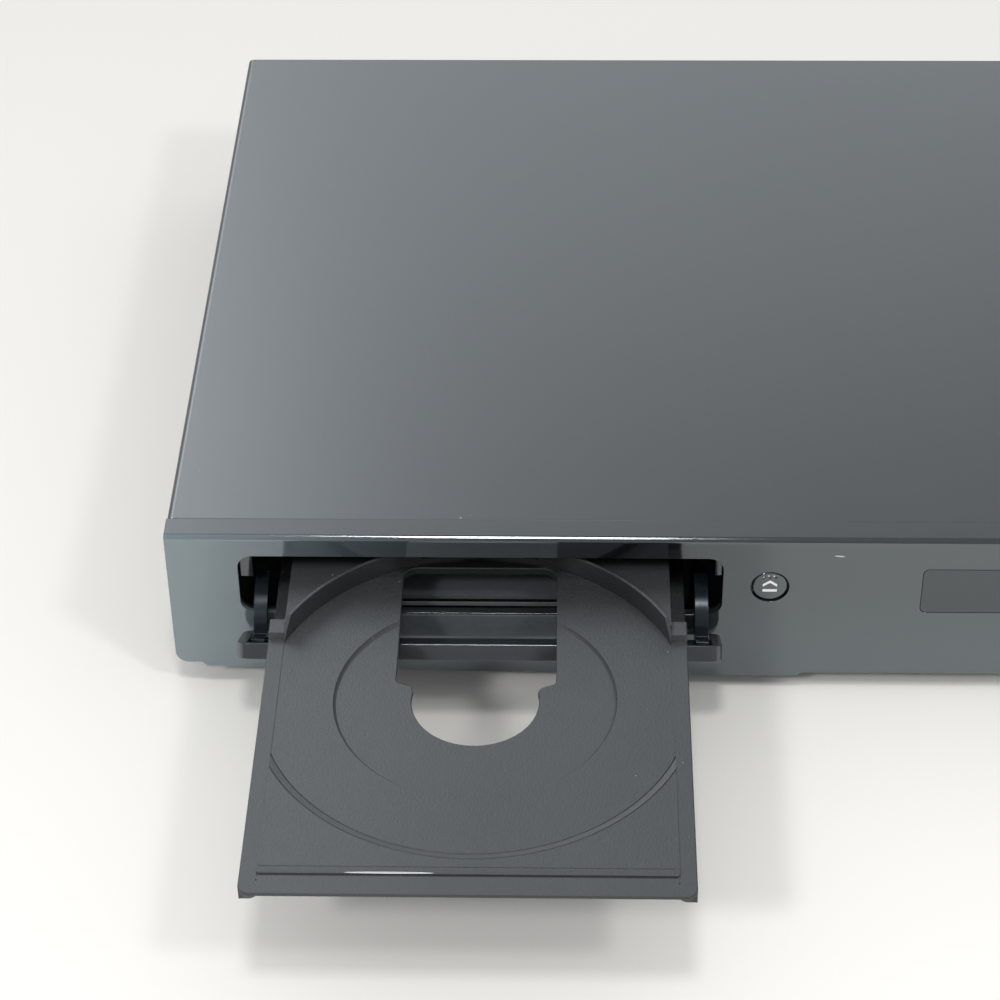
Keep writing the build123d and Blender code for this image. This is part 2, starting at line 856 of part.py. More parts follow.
# Drive frame: two walls with ledges that carry the tray, on a floor with a window
frame_x = around(tray_x, frame_inner + frame_wall)
frame_top_z = bridge_z
ledge_top_z = tray_rail_z - rail_height - seat_gap
pivot_post_x = traverse_width / 2 - traverse_side_gap
with BuildPart() as drive_frame:
    block(frame_x, (frame_y, frame_end_y), (frame_floor_z, frame_top_z))
    block(
        around(tray_x, frame_inner),
        (frame_y, frame_end_y),
        (frame_floor_z + frame_floor, frame_top_z),
        Mode.SUBTRACT,
    )
    block(
        around(tray_x, frame_window_width / 2),
        (frame_y + frame_window_start, frame_y + frame_window_start + frame_window_length),
        (frame_floor_z, frame_floor_z + frame_floor),
        Mode.SUBTRACT,
    )
    for side in (-1, 1):
        ledge_x = sorted((tray_x + side * (frame_inner + 0.5), tray_x + side * (frame_inner - ledge_width)))
        block(ledge_x, (frame_y, frame_end_y), (ledge_top_z - ledge_thickness, ledge_top_z))
        post_x = tray_x + side * pivot_post_x
        block(
            around(post_x, pivot_post_half / 2),
            around(traverse_pivot_y, pivot_post_half + 1),
            (frame_floor_z, traverse_z + traverse_pivot_radius * 2),
        )
        bar_along_x(
            traverse_pivot_y,
            traverse_z,
            traverse_pivot_radius + pin_clearance,
            around(post_x, pivot_post_half),
            Mode.SUBTRACT,
        )
    disc((gear_x, gear_y), axle_radius, (frame_floor_z, gear_top_z - seat_gap))
    disc(
        (gear_x, gear_y),
        axle_radius * 2,
        (frame_floor_z, gear_top_z - gear_thickness - pulley_thickness - seat_gap),
    )
    block(
        (frame_x[1] - frame_wall - 1, frame_x[1] + 1),
        around(cable_y, cable_width / 2 + seat_gap * 4),
        (socket_z - seat_gap, socket_z + cable_thickness + seat_gap),
        Mode.SUBTRACT,
    )
    for foot_x in (tray_x - frame_inner + 2 * frame_foot_inset, tray_x + frame_inner - 2 * frame_foot_inset):
        for foot_y in (frame_y + frame_foot_inset, frame_end_y - frame_foot_inset):
            disc((foot_x, foot_y), standoff_radius, (pan_top_z, frame_floor_z))
save(drive_frame, "drive_frame")

# Clamp bridge over the walls and the clamp puck that spins in it
with BuildPart() as clamper_bridge:
    block(frame_x, around(spindle_y, bridge_depth / 2), (bridge_z, bridge_z + bridge_sheet))
    disc(
        (tray_x, spindle_y),
        puck_radius + puck_hole_play,
        (bridge_z, bridge_z + bridge_sheet),
        Mode.SUBTRACT,
    )
save(clamper_bridge, "clamper_bridge")

puck_seat_z = bridge_z + bridge_sheet + seat_gap
with BuildPart() as clamper_puck:
    disc((tray_x, spindle_y), puck_radius, (puck_bottom_z, puck_seat_z + puck_flange_sheet))
    disc(
        (tray_x, spindle_y),
        puck_radius + puck_flange,
        (puck_seat_z, puck_seat_z + puck_flange_sheet),
    )
    disc(
        (tray_x, spindle_y),
        turntable_cone_radius + puck_hole_play,
        (puck_bottom_z, puck_bottom_z + puck_recess),
        Mode.SUBTRACT,
    )
save(clamper_puck, "clamper_puck")

# Loading motor, belt and the two pulleys
belt_z = gear_top_z - gear_thickness - pulley_thickness / 2
motor_top_z = belt_z - pulley_thickness
with BuildPart() as loading_motor:
    disc((motor_x, gear_y), motor_radius, (frame_floor_z + frame_floor, motor_top_z))
    disc(
        (motor_x, gear_y),
        motor_radius + motor_flange,
        (frame_floor_z + frame_floor, frame_floor_z + frame_floor + motor_flange_sheet),
    )
    disc((motor_x, gear_y), motor_shaft_radius, (motor_top_z, belt_z + pulley_thickness / 2))
save(loading_motor, "loading_motor")

groove = belt_thickness / 2


def grooved_pulley(centre, radius):
    """A pulley whose rim has a square groove for the belt."""
    disc(centre, radius, around(belt_z, pulley_thickness / 2))
    with BuildSketch(Plane.XY.offset(belt_z)) as ring:
        with Locations(centre):
            Circle(radius + 1)
            Circle(radius - belt_thickness, mode=Mode.SUBTRACT)
    extrude(ring.sketch, amount=groove + seat_gap, both=True, mode=Mode.SUBTRACT)


with BuildPart() as motor_pulley:
    grooved_pulley((motor_x, gear_y), motor_pulley_radius)
    disc(
        (motor_x, gear_y),
        motor_shaft_radius + pin_clearance,
        around(belt_z, pulley_thickness),
        Mode.SUBTRACT,
    )
save(motor_pulley, "motor_pulley")

with BuildPart() as drive_belt:
    with BuildSketch(Plane.XY.offset(belt_z - groove)):
        for grow, mode in ((groove, Mode.ADD), (-groove, Mode.SUBTRACT)):
            big = pulley_radius - belt_thickness / 2 + seat_gap + grow
            small = motor_pulley_radius - belt_thickness / 2 + seat_gap + grow
            lean = acos((big - small) / motor_offset)
            with BuildLine():
                Polyline(
                    (gear_x - big * cos(lean), gear_y + big * sin(lean)),
                    (motor_x - small * cos(lean), gear_y + small * sin(lean)),
                )
                ThreePointArc(
                    (motor_x - small * cos(lean), gear_y + small * sin(lean)),
                    (motor_x - small, gear_y),
                    (motor_x - small * cos(lean), gear_y - small * sin(lean)),
                )
                Polyline(
                    (motor_x - small * cos(lean), gear_y - small * sin(lean)),
                    (gear_x - big * cos(lean), gear_y - big * sin(lean)),
                )
                ThreePointArc(
                    (gear_x - big * cos(lean), gear_y - big * sin(lean)),
                    (gear_x + big, gear_y),
                    (gear_x - big * cos(lean), gear_y + big * sin(lean)),
                )
            make_face(mode=mode)
    extrude(amount=belt_thickness)
save(drive_belt, "drive_belt")


def involute(angle):
    return tan(angle) - angle


def gear_outline():
    """Points of an involute spur gear with a gap on its +X side."""
    base = pitch_radius * cos(pressure_angle)
    tip = pitch_radius + 0.9 * gear_module
    root = pitch_radius - 1.25 * gear_module
    half_tooth = (pi * gear_module / 2 - gear_backlash) / (2 * pitch_radius)
    radii = [root] + [base + (tip - base) * step / 4 for step in range(5)]
    points = []
    for tooth in range(gear_teeth):
        middle = (tooth + 0.5) * 2 * pi / gear_teeth
        flank = []
        for radius in radii:
            slope = acos(min(1, base / radius)) if radius > base else 0
            flank.append((radius, half_tooth + involute(pressure_angle) - involute(slope)))
        for radius, half in flank:
            points.append((gear_x + radius * cos(middle - half), gear_y + radius * sin(middle - half)))
        for radius, half in reversed(flank):
            points.append((gear_x + radius * cos(middle + half), gear_y + radius * sin(middle + half)))
    return points


with BuildPart() as drive_gear:
    with BuildSketch(Plane.XY.offset(gear_top_z - gear_thickness)):
        with BuildLine():
            Polyline(*gear_outline(), close=True)
        make_face()
    extrude(amount=gear_thickness)
    grooved_pulley((gear_x, gear_y), pulley_radius)
    disc(
        (gear_x, gear_y),
        axle_radius + pin_clearance,
        (belt_z - pulley_thickness, gear_top_z),
        Mode.SUBTRACT,
    )
save(drive_gear, "drive_gear")

# Tray, at the end of its travel out of the case
rail_x = (tray_width / 2 - rail_width, tray_width / 2)
raised_y = disc_y + raised_rail_start
plateau_z = tray_rail_z + plateau_rise
rack_pitch = pi * gear_module
rack_teeth_back = 2
rack_teeth_ahead = int(tray_travel / rack_pitch) + 2
rack_face_x = rack_x - rack_back / 2
with BuildPart() as tray:
    block(around(tray_x, tray_width / 2), (tray_front_y, tray_back_y), (floor_under_z, floor_z))
    for side in (-1, 1):
        block(
            sorted((tray_x + side * rail_x[0], tray_x + side * rail_x[1])),
            (tray_front_y, tray_back_y),
            (tray_rail_z - rail_height, tray_rail_z),
        )
        block(
            sorted((tray_x + side * rail_x[0], tray_x + side * rail_x[1])),
            (raised_y, tray_back_y),
            (floor_z, tray_rail_z + raised_rail_rise),
        )
    block(
        around(tray_x, rail_x[0] + seat_gap),
        (tray_front_y + plateau_setback, disc_y),
        (floor_under_z, plateau_z),
    )
    block(
        around(tray_x, tray_width / 2),
        (tray_front_y, tray_front_y + rail_width),
        (tray_rail_z - lip_height, tray_rail_z),
    )
    with BuildSketch(Plane.XY.offset(floor_under_z)):
        with Locations((tray_x, disc_y)):
            Circle(large_disc_radius + rear_wall_thickness)
            with Locations((0, raised_y - disc_y - large_disc_radius)):
                Rectangle(4 * large_disc_radius, 2 * large_disc_radius, mode=Mode.SUBTRACT)
        with Locations((tray_x, disc_y)):
            Rectangle(2 * rear_wall_side, 4 * large_disc_radius, mode=Mode.INTERSECT)
    extrude(amount=rear_wall_height + tray_rail_z - floor_under_z)
    block(
        around(tray_x, puck_radius + puck_way),
        (disc_y, tray_back_y),
        (tray_rail_z + raised_rail_rise, height),
        Mode.SUBTRACT,
    )
    disc((tray_x, disc_y), large_disc_radius, (floor_z, height), Mode.SUBTRACT)
    disc((tray_x, disc_y), small_disc_radius, (floor_z - small_disc_drop, floor_z), Mode.SUBTRACT)
    for side in (-1, 1):
        rib_x = tray_x + side * (tray_width / 2 - rack_from_tray_edge)
        block(
            around(rib_x, rack_back / 2),
            (tray_front_y + 2 * rail_width, tray_back_y),
            (rib_bottom_z, floor_under_z + seat_gap),
        )
    with BuildSketch(Plane.XY.offset(gear_top_z - gear_thickness)):
        half_root = rack_pitch / 4 - gear_backlash / 2 + 1.1 * gear_module * tan(pressure_angle)
        half_tip = rack_pitch / 4 - gear_backlash / 2 - 0.9 * gear_module * tan(pressure_angle)
        for tooth in range(-rack_teeth_ahead, rack_teeth_back + 1):
            tooth_y = gear_y + tooth * rack_pitch
            with BuildLine():
                Polyline(
                    (rack_face_x + 0.1, tooth_y - half_root),
                    (rack_face_x - 1.9 * gear_module, tooth_y - half_tip),
                    (rack_face_x - 1.9 * gear_module, tooth_y + half_tip),
                    (rack_face_x + 0.1, tooth_y + half_root),
                    close=True,
                )
            make_face()
    extrude(amount=gear_thickness)
    disc((tray_x, disc_y), hub_radius, (floor_under_z, height), Mode.SUBTRACT)
    with BuildSketch(Plane.XY.offset(floor_under_z)):
        with Locations((tray_x, disc_y + (window_back + window_front) / 2)):
            RectangleRounded(window_width, window_back - window_front, window_corner)
    extrude(amount=height, mode=Mode.SUBTRACT)
save(tray, "tray")

# Tray door: glossy skin and the frame with its two hooked arms, drawn closed and then turned open
door_width = opening_width - 2 * door_gap
door_axis = Axis((0, pivot_y, pivot_z), (1, 0, 0))


def around_pivot(radius, angle):
    return (pivot_y + radius * cos(radians(angle)), pivot_z + radius * sin(radians(angle)))


door_top_z = opening_top_z - door_gap
door_low_z = opening_bottom_z + door_gap
with BuildPart() as door_skin_closed:
    with BuildSketch(Plane.XZ.offset(-face_y)):
        with Locations((tray_x, (door_low_z + door_top_z) / 2)):
            RectangleRounded(door_width, door_top_z - door_low_z, opening_corner - door_gap)
    extrude(amount=-door_depth)
    block(
        around(tray_x, door_width / 2 - door_skirt),
        (face_y + door_skin_wall, face_y + door_depth),
        (door_low_z - 1, door_top_z - door_rim),
        Mode.SUBTRACT,
    )
with BuildPart() as door_skin:
    add(door_skin_closed.part.rotate(door_axis, door_open_angle))
save(door_skin, "door_skin")

with BuildPart() as door_frame_closed:
    block(
        around(tray_x, door_width / 2 - door_skirt),
        (face_y + door_skin_wall, face_y + door_skin_wall + door_web),
        (door_low_z + door_rim, door_top_z - door_rim),
    )
    for side in (-1, 1):
        block(
            around(tray_x + side * door_arm_offset, door_arm_width / 2),
            (face_y + door_skin_wall, face_y + door_depth),
            (door_low_z + door_rim, door_top_z - 2 * door_skirt),
        )
web_middle = door_arm_inner * 0.52
web_angle = door_arm_start_angle + door_arm_web
arm_angles = [
    door_arm_start_angle,
    (door_arm_start_angle + door_arm_lip_angle) / 2,
    door_arm_lip_angle,
]
with BuildPart() as door_frame:
    add(door_frame_closed.part.rotate(door_axis, door_open_angle))
    for side in (-1, 1):
        arm_x = tray_x + side * door_arm_offset - door_arm_width / 2
        with BuildSketch(Plane.YZ.offset(arm_x)):
            with BuildLine():
                inner_arc = [around_pivot(door_arm_inner, angle) for angle in arm_angles]
                outer_arc = [around_pivot(door_arm_outer, angle) for angle in reversed(arm_angles)]
                ThreePointArc(*inner_arc)
                Line(inner_arc[2], outer_arc[0])
                ThreePointArc(*outer_arc)
                Line(outer_arc[2], inner_arc[0])
            make_face()
            with Locations((pivot_y, pivot_z)):
                Circle(door_boss_radius)
            with Locations(Location(around_pivot(web_middle, web_angle), web_angle)):
                Rectangle(2 * web_middle, door_arm_web)
            with Locations((pivot_y, pivot_z)):
                Circle(door_pin_radius + pin_clearance, mode=Mode.SUBTRACT)
        extrude(amount=door_arm_width)
save(door_frame, "door_frame")

# Brackets behind the fascia, each with a pin for the door
for name, side in (("door_bracket_left", -1), ("door_bracket_right", 1)):
    pin_inner = door_arm_offset - door_arm_width / 2
    plate_inner = door_arm_offset + door_arm_width / 2 + bracket_gap
    wall_back = face_y + fascia_wall
    with BuildPart() as bracket:
        block(
            sorted((tray_x + side * plate_inner, tray_x + side * (plate_inner + bracket_wall))),
            (wall_back, pivot_y + door_boss_radius),
            around(pivot_z, door_boss_radius),
        )
        block(
            sorted((tray_x + side * plate_inner, tray_x + side * (plate_inner + 4 * bracket_wall))),
            (wall_back, wall_back + bracket_foot),
            (pivot_z - 2 * door_boss_radius, pivot_z + door_boss_radius),
        )
        bar_along_x(
            pivot_y,
            pivot_z,
            door_pin_radius,
            sorted((tray_x + side * pin_inner, tray_x + side * (plate_inner + 1))),
        )
    save(bracket, name)

# Traverse plate with its pivot pins and the cam pin
plate_z = (traverse_z - traverse_plate / 2, traverse_z + traverse_plate / 2)
rod_y = (spindle_y + rod_start, spindle_y + rod_start + rod_length)
sled_y = (spindle_y + sled_start, spindle_y + sled_start + sled_length)
pin_z = traverse_z
with BuildPart() as traverse:
    block(
        around(tray_x, pivot_post_x - pivot_post_half),
        (traverse_y, traverse_pivot_y + traverse_behind_pivot),
        plate_z,
    )
    bar_along_x(
        traverse_pivot_y,
        traverse_z,
        traverse_pivot_radius,
        around(tray_x, pivot_post_x + pivot_post_half),
    )
    bar_along_y(tray_x, pin_z, cam_pin_radius, (cam_y - cam_sheet, traverse_y + holder_half))
    block(
        around(tray_x, sled_width / 2 - 2 * sled_corner),
        (sled_y[0], rod_y[1] - holder_half),
        plate_z,
        Mode.SUBTRACT,
    )
    for side in (-1, 1):
        for end_y in rod_y:
            block(
                around(tray_x + side * rod_offset, holder_half),
                around(end_y, holder_half / 2),
                (plate_z[0], rod_z + holder_half),
            )
            bar_along_y(
                tray_x + side * rod_offset,
                rod_z,
                rod_radius,
                around(end_y, holder_half),
                Mode.SUBTRACT,
            )
save(traverse, "traverse")

with BuildPart() as guide_rods:
    for side in (-1, 1):
        bar_along_y(tray_x + side * rod_offset, rod_z, rod_radius, rod_y)
save(guide_rods, "guide_rods")

with BuildPart() as spindle_motor:
    disc((tray_x, spindle_y), spindle_motor_radius, (plate_z[1], plate_z[1] + spindle_motor_height))
    disc((tray_x, spindle_y), spindle_radius, (plate_z[1], turntable_under_z + turntable_thickness / 2))
save(spindle_motor, "spindle_motor")

with BuildPart() as turntable:
    disc((tray_x, spindle_y), turntable_radius, (turntable_under_z, turntable_top_z))
    disc(
        (tray_x, spindle_y),
        turntable_hub_radius,
        (plate_z[1] + spindle_motor_height + seat_gap, turntable_under_z),
    )
    with Locations((tray_x, spindle_y, turntable_top_z + turntable_cone_height / 2)):
        Cone(turntable_cone_radius, turntable_cone_radius - turntable_cone_taper, turntable_cone_height)
    disc(
        (tray_x, spindle_y),
        spindle_radius + pin_clearance,
        (plate_z[1] + spindle_motor_height, turntable_under_z + turntable_thickness / 2 + seat_gap),
        Mode.SUBTRACT,
    )
save(turntable, "turntable")

# Optical pickup on its sled
sled_bearing = rod_radius + pin_clearance
with BuildPart() as pickup_sled:
    block(around(tray_x, sled_width / 2), sled_y, around(rod_z, sled_height / 2))
    fillet(pickup_sled.edges().filter_by(Axis.Z), sled_corner)
    for side in (-1, 1):
        block(
            sorted(
                (
                    tray_x + side * (sled_width / 2 - follower_half),
                    tray_x + side * (rod_offset + sled_ear_half),
                )
            ),
            (sled_y[0] + sled_ear_inset, sled_y[0] + sled_ear_inset + sled_ear_length),
            around(rod_z, sled_ear_half),
        )
        bar_along_y(tray_x + side * rod_offset, rod_z, sled_bearing, sled_y, Mode.SUBTRACT)
    block(
        (tray_x + rod_offset + sled_bearing, tray_x + screw_offset - screw_radius - screw_play),
        around(sled_y[0] + sled_ear_inset + sled_ear_length / 2, follower_length / 2),
        around(rod_z, follower_half),
    )
save(pickup_sled, "pickup_sled")

lens_place = (tray_x, (sled_y[0] + sled_y[1]) / 2 - lens_ahead)
with BuildPart() as objective_lens:
    disc(lens_place, lens_radius, (rod_z + sled_height / 2, rod_z + sled_height / 2 + lens_height))
save(objective_lens, "objective_lens")

# Lead screw and its motor
screw_x = tray_x + screw_offset
screw_y = (rod_y[0] - 1, rod_y[1] - 2)
with BuildPart() as lead_screw:
    bar_along_y(screw_x, rod_z, screw_radius, screw_y)
save(lead_screw, "lead_screw")

with BuildPart() as sled_motor:
    bar_along_y(screw_x, rod_z, sled_motor_radius, (screw_y[1] + seat_gap, rod_y[1] + sled_motor_length))
    block(
        around(screw_x, sled_motor_radius / 2),
        (rod_y[1], rod_y[1] + sled_motor_length),
        (plate_z[1], rod_z),
    )
    block(
        around(screw_x, sled_motor_radius / 2),
        (screw_y[0] - seat_gap - bearing_length, screw_y[0] - seat_gap),
        (plate_z[1], rod_z + holder_half),
    )
save(sled_motor, "sled_motor")

# Cam slide that lifts the front of the traverse
cam_y_span = around(cam_y, cam_sheet / 2)
slot_half = cam_pin_radius + cam_slot_play
slot_length = sqrt(cam_travel**2 + pin_lift**2) + cam_slot_spare
slot_tilt = degrees(atan2(pin_lift, cam_travel))
cam_bottom_z = frame_floor_z + frame_floor + seat_gap
cam_x_span = around(tray_x - cam_travel / 2, cam_length / 2)
with BuildPart() as cam_slide:
    block(cam_x_span, cam_y_span, (cam_bottom_z, cam_bottom_z + cam_height))
    with BuildSketch(Plane.XZ.offset(-cam_y_span[0])):
        with Locations(Location((tray_x - cam_travel / 2, pin_z + pin_lift / 2), -slot_tilt)):
            SlotCenterToCenter(slot_length, 2 * slot_half)
    extrude(amount=-cam_sheet, mode=Mode.SUBTRACT)
    block(cam_x_span, (cam_y, cam_y + cam_foot_depth), (cam_bottom_z, cam_bottom_z + cam_foot_sheet))
save(cam_slide, "cam_slide")

# Flat cable from the drive to the main board
with BuildPart() as flat_cable:
    block(
        (frame_x[1] - cable_end / 2, main_board_x + cable_end),
        around(cable_y, cable_width / 2),
        (part_z, part_z + cable_thickness),
    )
save(flat_cable, "flat_cable")

# Screws through the cover sides and the rear panel
side_screw_y = [seam_y + side_screw_inset, back_y - side_screw_inset]
side_screw_z = pan_z + pan_flange * 0.55
with BuildPart() as cover_screws:
    for side in (-1, 1):
        for screw_y in side_screw_y:
            bar_along_x(
                screw_y,
                side_screw_z,
                screw_head_radius,
                sorted((side * width / 2, side * (width / 2 + screw_head_height))),
            )
save(cover_screws, "cover_screws")

rear_screw_x = [
    left_x + end_screw_inset,
    tray_x + side_screw_inset,
    main_board_x + 2 * end_screw_inset,
    power_x - end_screw_inset / 2,
    -left_x - end_screw_inset,
]
rear_screw_z = height - cover_sheet - rear_lip * 1.6
plate_screw_z = window_z[1] + plate_top_rim / 2
with BuildPart() as rear_screws:
    for spot_x in rear_screw_x:
        bar_along_y(spot_x, rear_screw_z, screw_head_radius, (back_y, back_y + screw_head_height))
    for spot_x in (window_x[0] + screw_head_radius, window_x[1] - screw_head_radius):
        bar_along_y(spot_x, plate_screw_z, screw_head_radius, (back_y, back_y + screw_head_height))
save(rear_screws, "rear_screws")
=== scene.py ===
import json
from math import acos, cos, degrees, pi, radians, sin, sqrt

import bmesh
import bpy
import numpy as np
from mathutils import Matrix, Vector

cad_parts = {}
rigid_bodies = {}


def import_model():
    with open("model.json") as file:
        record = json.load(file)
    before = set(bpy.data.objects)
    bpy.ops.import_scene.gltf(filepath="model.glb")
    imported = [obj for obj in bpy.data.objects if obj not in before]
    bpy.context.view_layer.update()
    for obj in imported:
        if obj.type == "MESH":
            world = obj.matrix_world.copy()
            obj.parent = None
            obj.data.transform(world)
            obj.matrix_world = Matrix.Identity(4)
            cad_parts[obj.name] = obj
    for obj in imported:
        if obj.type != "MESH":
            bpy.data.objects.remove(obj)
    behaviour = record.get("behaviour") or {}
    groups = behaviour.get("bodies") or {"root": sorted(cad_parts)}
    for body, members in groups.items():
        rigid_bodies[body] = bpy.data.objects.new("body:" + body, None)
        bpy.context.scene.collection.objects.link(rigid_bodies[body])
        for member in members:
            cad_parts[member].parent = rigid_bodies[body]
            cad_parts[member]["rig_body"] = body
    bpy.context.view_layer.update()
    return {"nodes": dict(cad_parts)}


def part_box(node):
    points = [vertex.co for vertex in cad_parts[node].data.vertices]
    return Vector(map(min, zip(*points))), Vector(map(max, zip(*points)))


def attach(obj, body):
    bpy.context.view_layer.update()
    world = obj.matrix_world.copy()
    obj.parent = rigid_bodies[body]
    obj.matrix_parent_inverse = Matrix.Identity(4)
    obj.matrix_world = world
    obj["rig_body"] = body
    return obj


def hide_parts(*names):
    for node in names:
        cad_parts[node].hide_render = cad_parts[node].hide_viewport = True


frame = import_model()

nodes = frame["nodes"]
mm = 0.001

# The camera looks down over the left half of the player through a long lens, as a
# hand-held phone does from the far side of a table.
camera_place = (-0.0953, -0.7173, 0.5913)
camera_pitch = radians(39.03)
camera_yaw = radians(1.75)
camera_roll = radians(-0.79)
focal_pixels = 2804
image_pixels = 1000
film_width = 36

lens_data = bpy.data.cameras.new("camera")
lens_data.sensor_width = film_width
lens_data.lens = film_width * focal_pixels / image_pixels
lens_data.clip_start = 0.05
camera = bpy.data.objects.new("camera", lens_data)
bpy.context.scene.collection.objects.link(camera)
ahead = Vector(
    (
        -sin(camera_yaw) * cos(camera_pitch),
        cos(camera_yaw) * cos(camera_pitch),
        -sin(camera_pitch),
    )
)
level = Vector((cos(camera_yaw), sin(camera_yaw), 0))
upright = level.cross(ahead)
right = cos(camera_roll) * level + sin(camera_roll) * upright
up = cos(camera_roll) * upright - sin(camera_roll) * level
turn = Matrix((right, up, -ahead)).transposed()
camera.matrix_world = Matrix.Translation(camera_place) @ turn.to_4x4()
bpy.context.scene.camera = camera

# The player stands in an evenly lit room. Panels behind and above it, seen only in its
# gloss, give the cover its sheen. Three small lamps in front throw three pale shadows.
bpy.context.scene.view_settings.view_transform = "Standard"
room_light = 0.65
room_seen = 0.70
room_mirrored = 0.40
room_colour = (0.98, 0.99, 1.0, 1)
lamps = {
    # name: place, width, height, power, colour, whether it lights matt surfaces
    "panel": ((-0.5, 1.9, 1.05), 3.0, 0.9, 20.5, (0.86, 0.94, 1.0), False),
    "side_panel": ((-1.0, 1.5, 1.45), 0.9, 0.9, 22.5, (0.86, 0.93, 1.0), False),
    "ceiling": ((-0.16, -0.1, 2.0), 0.3, 0.3, 9.0, (1.0, 1.0, 1.0), False),
    "key": ((-0.78, -1.11, 1.1), 0.20, 0.20, 7.6, (1.0, 0.99, 0.96), True),
    "right": ((0.66, -0.79, 1.3), 0.20, 0.20, 4.3, (1.0, 0.99, 0.96), True),
    "front": ((-0.12, -0.60, 1.5), 0.20, 0.20, 5.6, (1.0, 0.99, 0.97), True),
}
for name, (place, width, height, power, colour, lights_matt) in lamps.items():
    light = bpy.data.lights.new(name, "AREA")
    light.shape = "RECTANGLE"
    light.size = width
    light.size_y = height
    light.energy = power
    light.color = colour
    lamp = bpy.data.objects.new(name, light)
    lamp.location = place
    lamp.visible_diffuse = lights_matt
    lamp.rotation_euler = (-Vector(place)).to_track_quat("-Z", "Y").to_euler()
    bpy.context.scene.collection.objects.link(lamp)

world = bpy.data.worlds.new("room")
world.use_nodes = True
bpy.context.scene.world = world
sky = world.node_tree
paths = sky.nodes.new("ShaderNodeLightPath")
strength = None
for ray, seen in (("Is Camera Ray", room_seen), ("Is Glossy Ray", room_mirrored)):
    share = sky.nodes.new("ShaderNodeMath")
    share.operation = "MULTIPLY_ADD"
    share.inputs[1].default_value = seen - room_light
    share.inputs[2].default_value = room_light
    sky.links.new(paths.outputs[ray], share.inputs[0])
    if strength:
        sky.links.new(strength.outputs[0], share.inputs[2])
    strength = share
sky.links.new(strength.outputs[0], sky.nodes["Background"].inputs["Strength"])
sky.nodes["Background"].inputs["Color"].default_value = room_colour

# The table is a plain painted board, matt and nearly white, and reaches well past the
# player on all sides.
table_colour = (0.88, 0.87, 0.845, 1)
table_half = 4.0


class Link:
    """One socket inside a finish. Arithmetic and comparisons on it add Math nodes, with the
    number on either side."""

    def __init__(self, finish, socket):
        self.finish = finish
        self.socket = socket

    def sums(self, operation, *terms):
        """One Math node on these terms, each a link or a number."""
        return self.finish.node("ShaderNodeMath", {"operation": operation}, dict(enumerate(terms)))

    def __add__(self, other):
        return self.sums("ADD", self, other)

    def __radd__(self, other):
        return self.sums("ADD", other, self)

    def __sub__(self, other):
        return self.sums("SUBTRACT", self, other)

    def __rsub__(self, other):
        return self.sums("SUBTRACT", other, self)

    def __mul__(self, other):
        return self.sums("MULTIPLY", self, other)

    def __rmul__(self, other):
        return self.sums("MULTIPLY", other, self)

    def __pow__(self, other):
        return self.sums("POWER", self, other)

    def __mod__(self, other):
        return self.sums("MODULO", self, other)

    def __lt__(self, other):
        return self.sums("LESS_THAN", self, other)

    def __gt__(self, other):
        return self.sums("GREATER_THAN", self, other)

    def shaded(self, factor):
        """This colour times a factor from 0 to 1."""
        return self.finish.tint(factor, (0, 0, 0, 1), self)


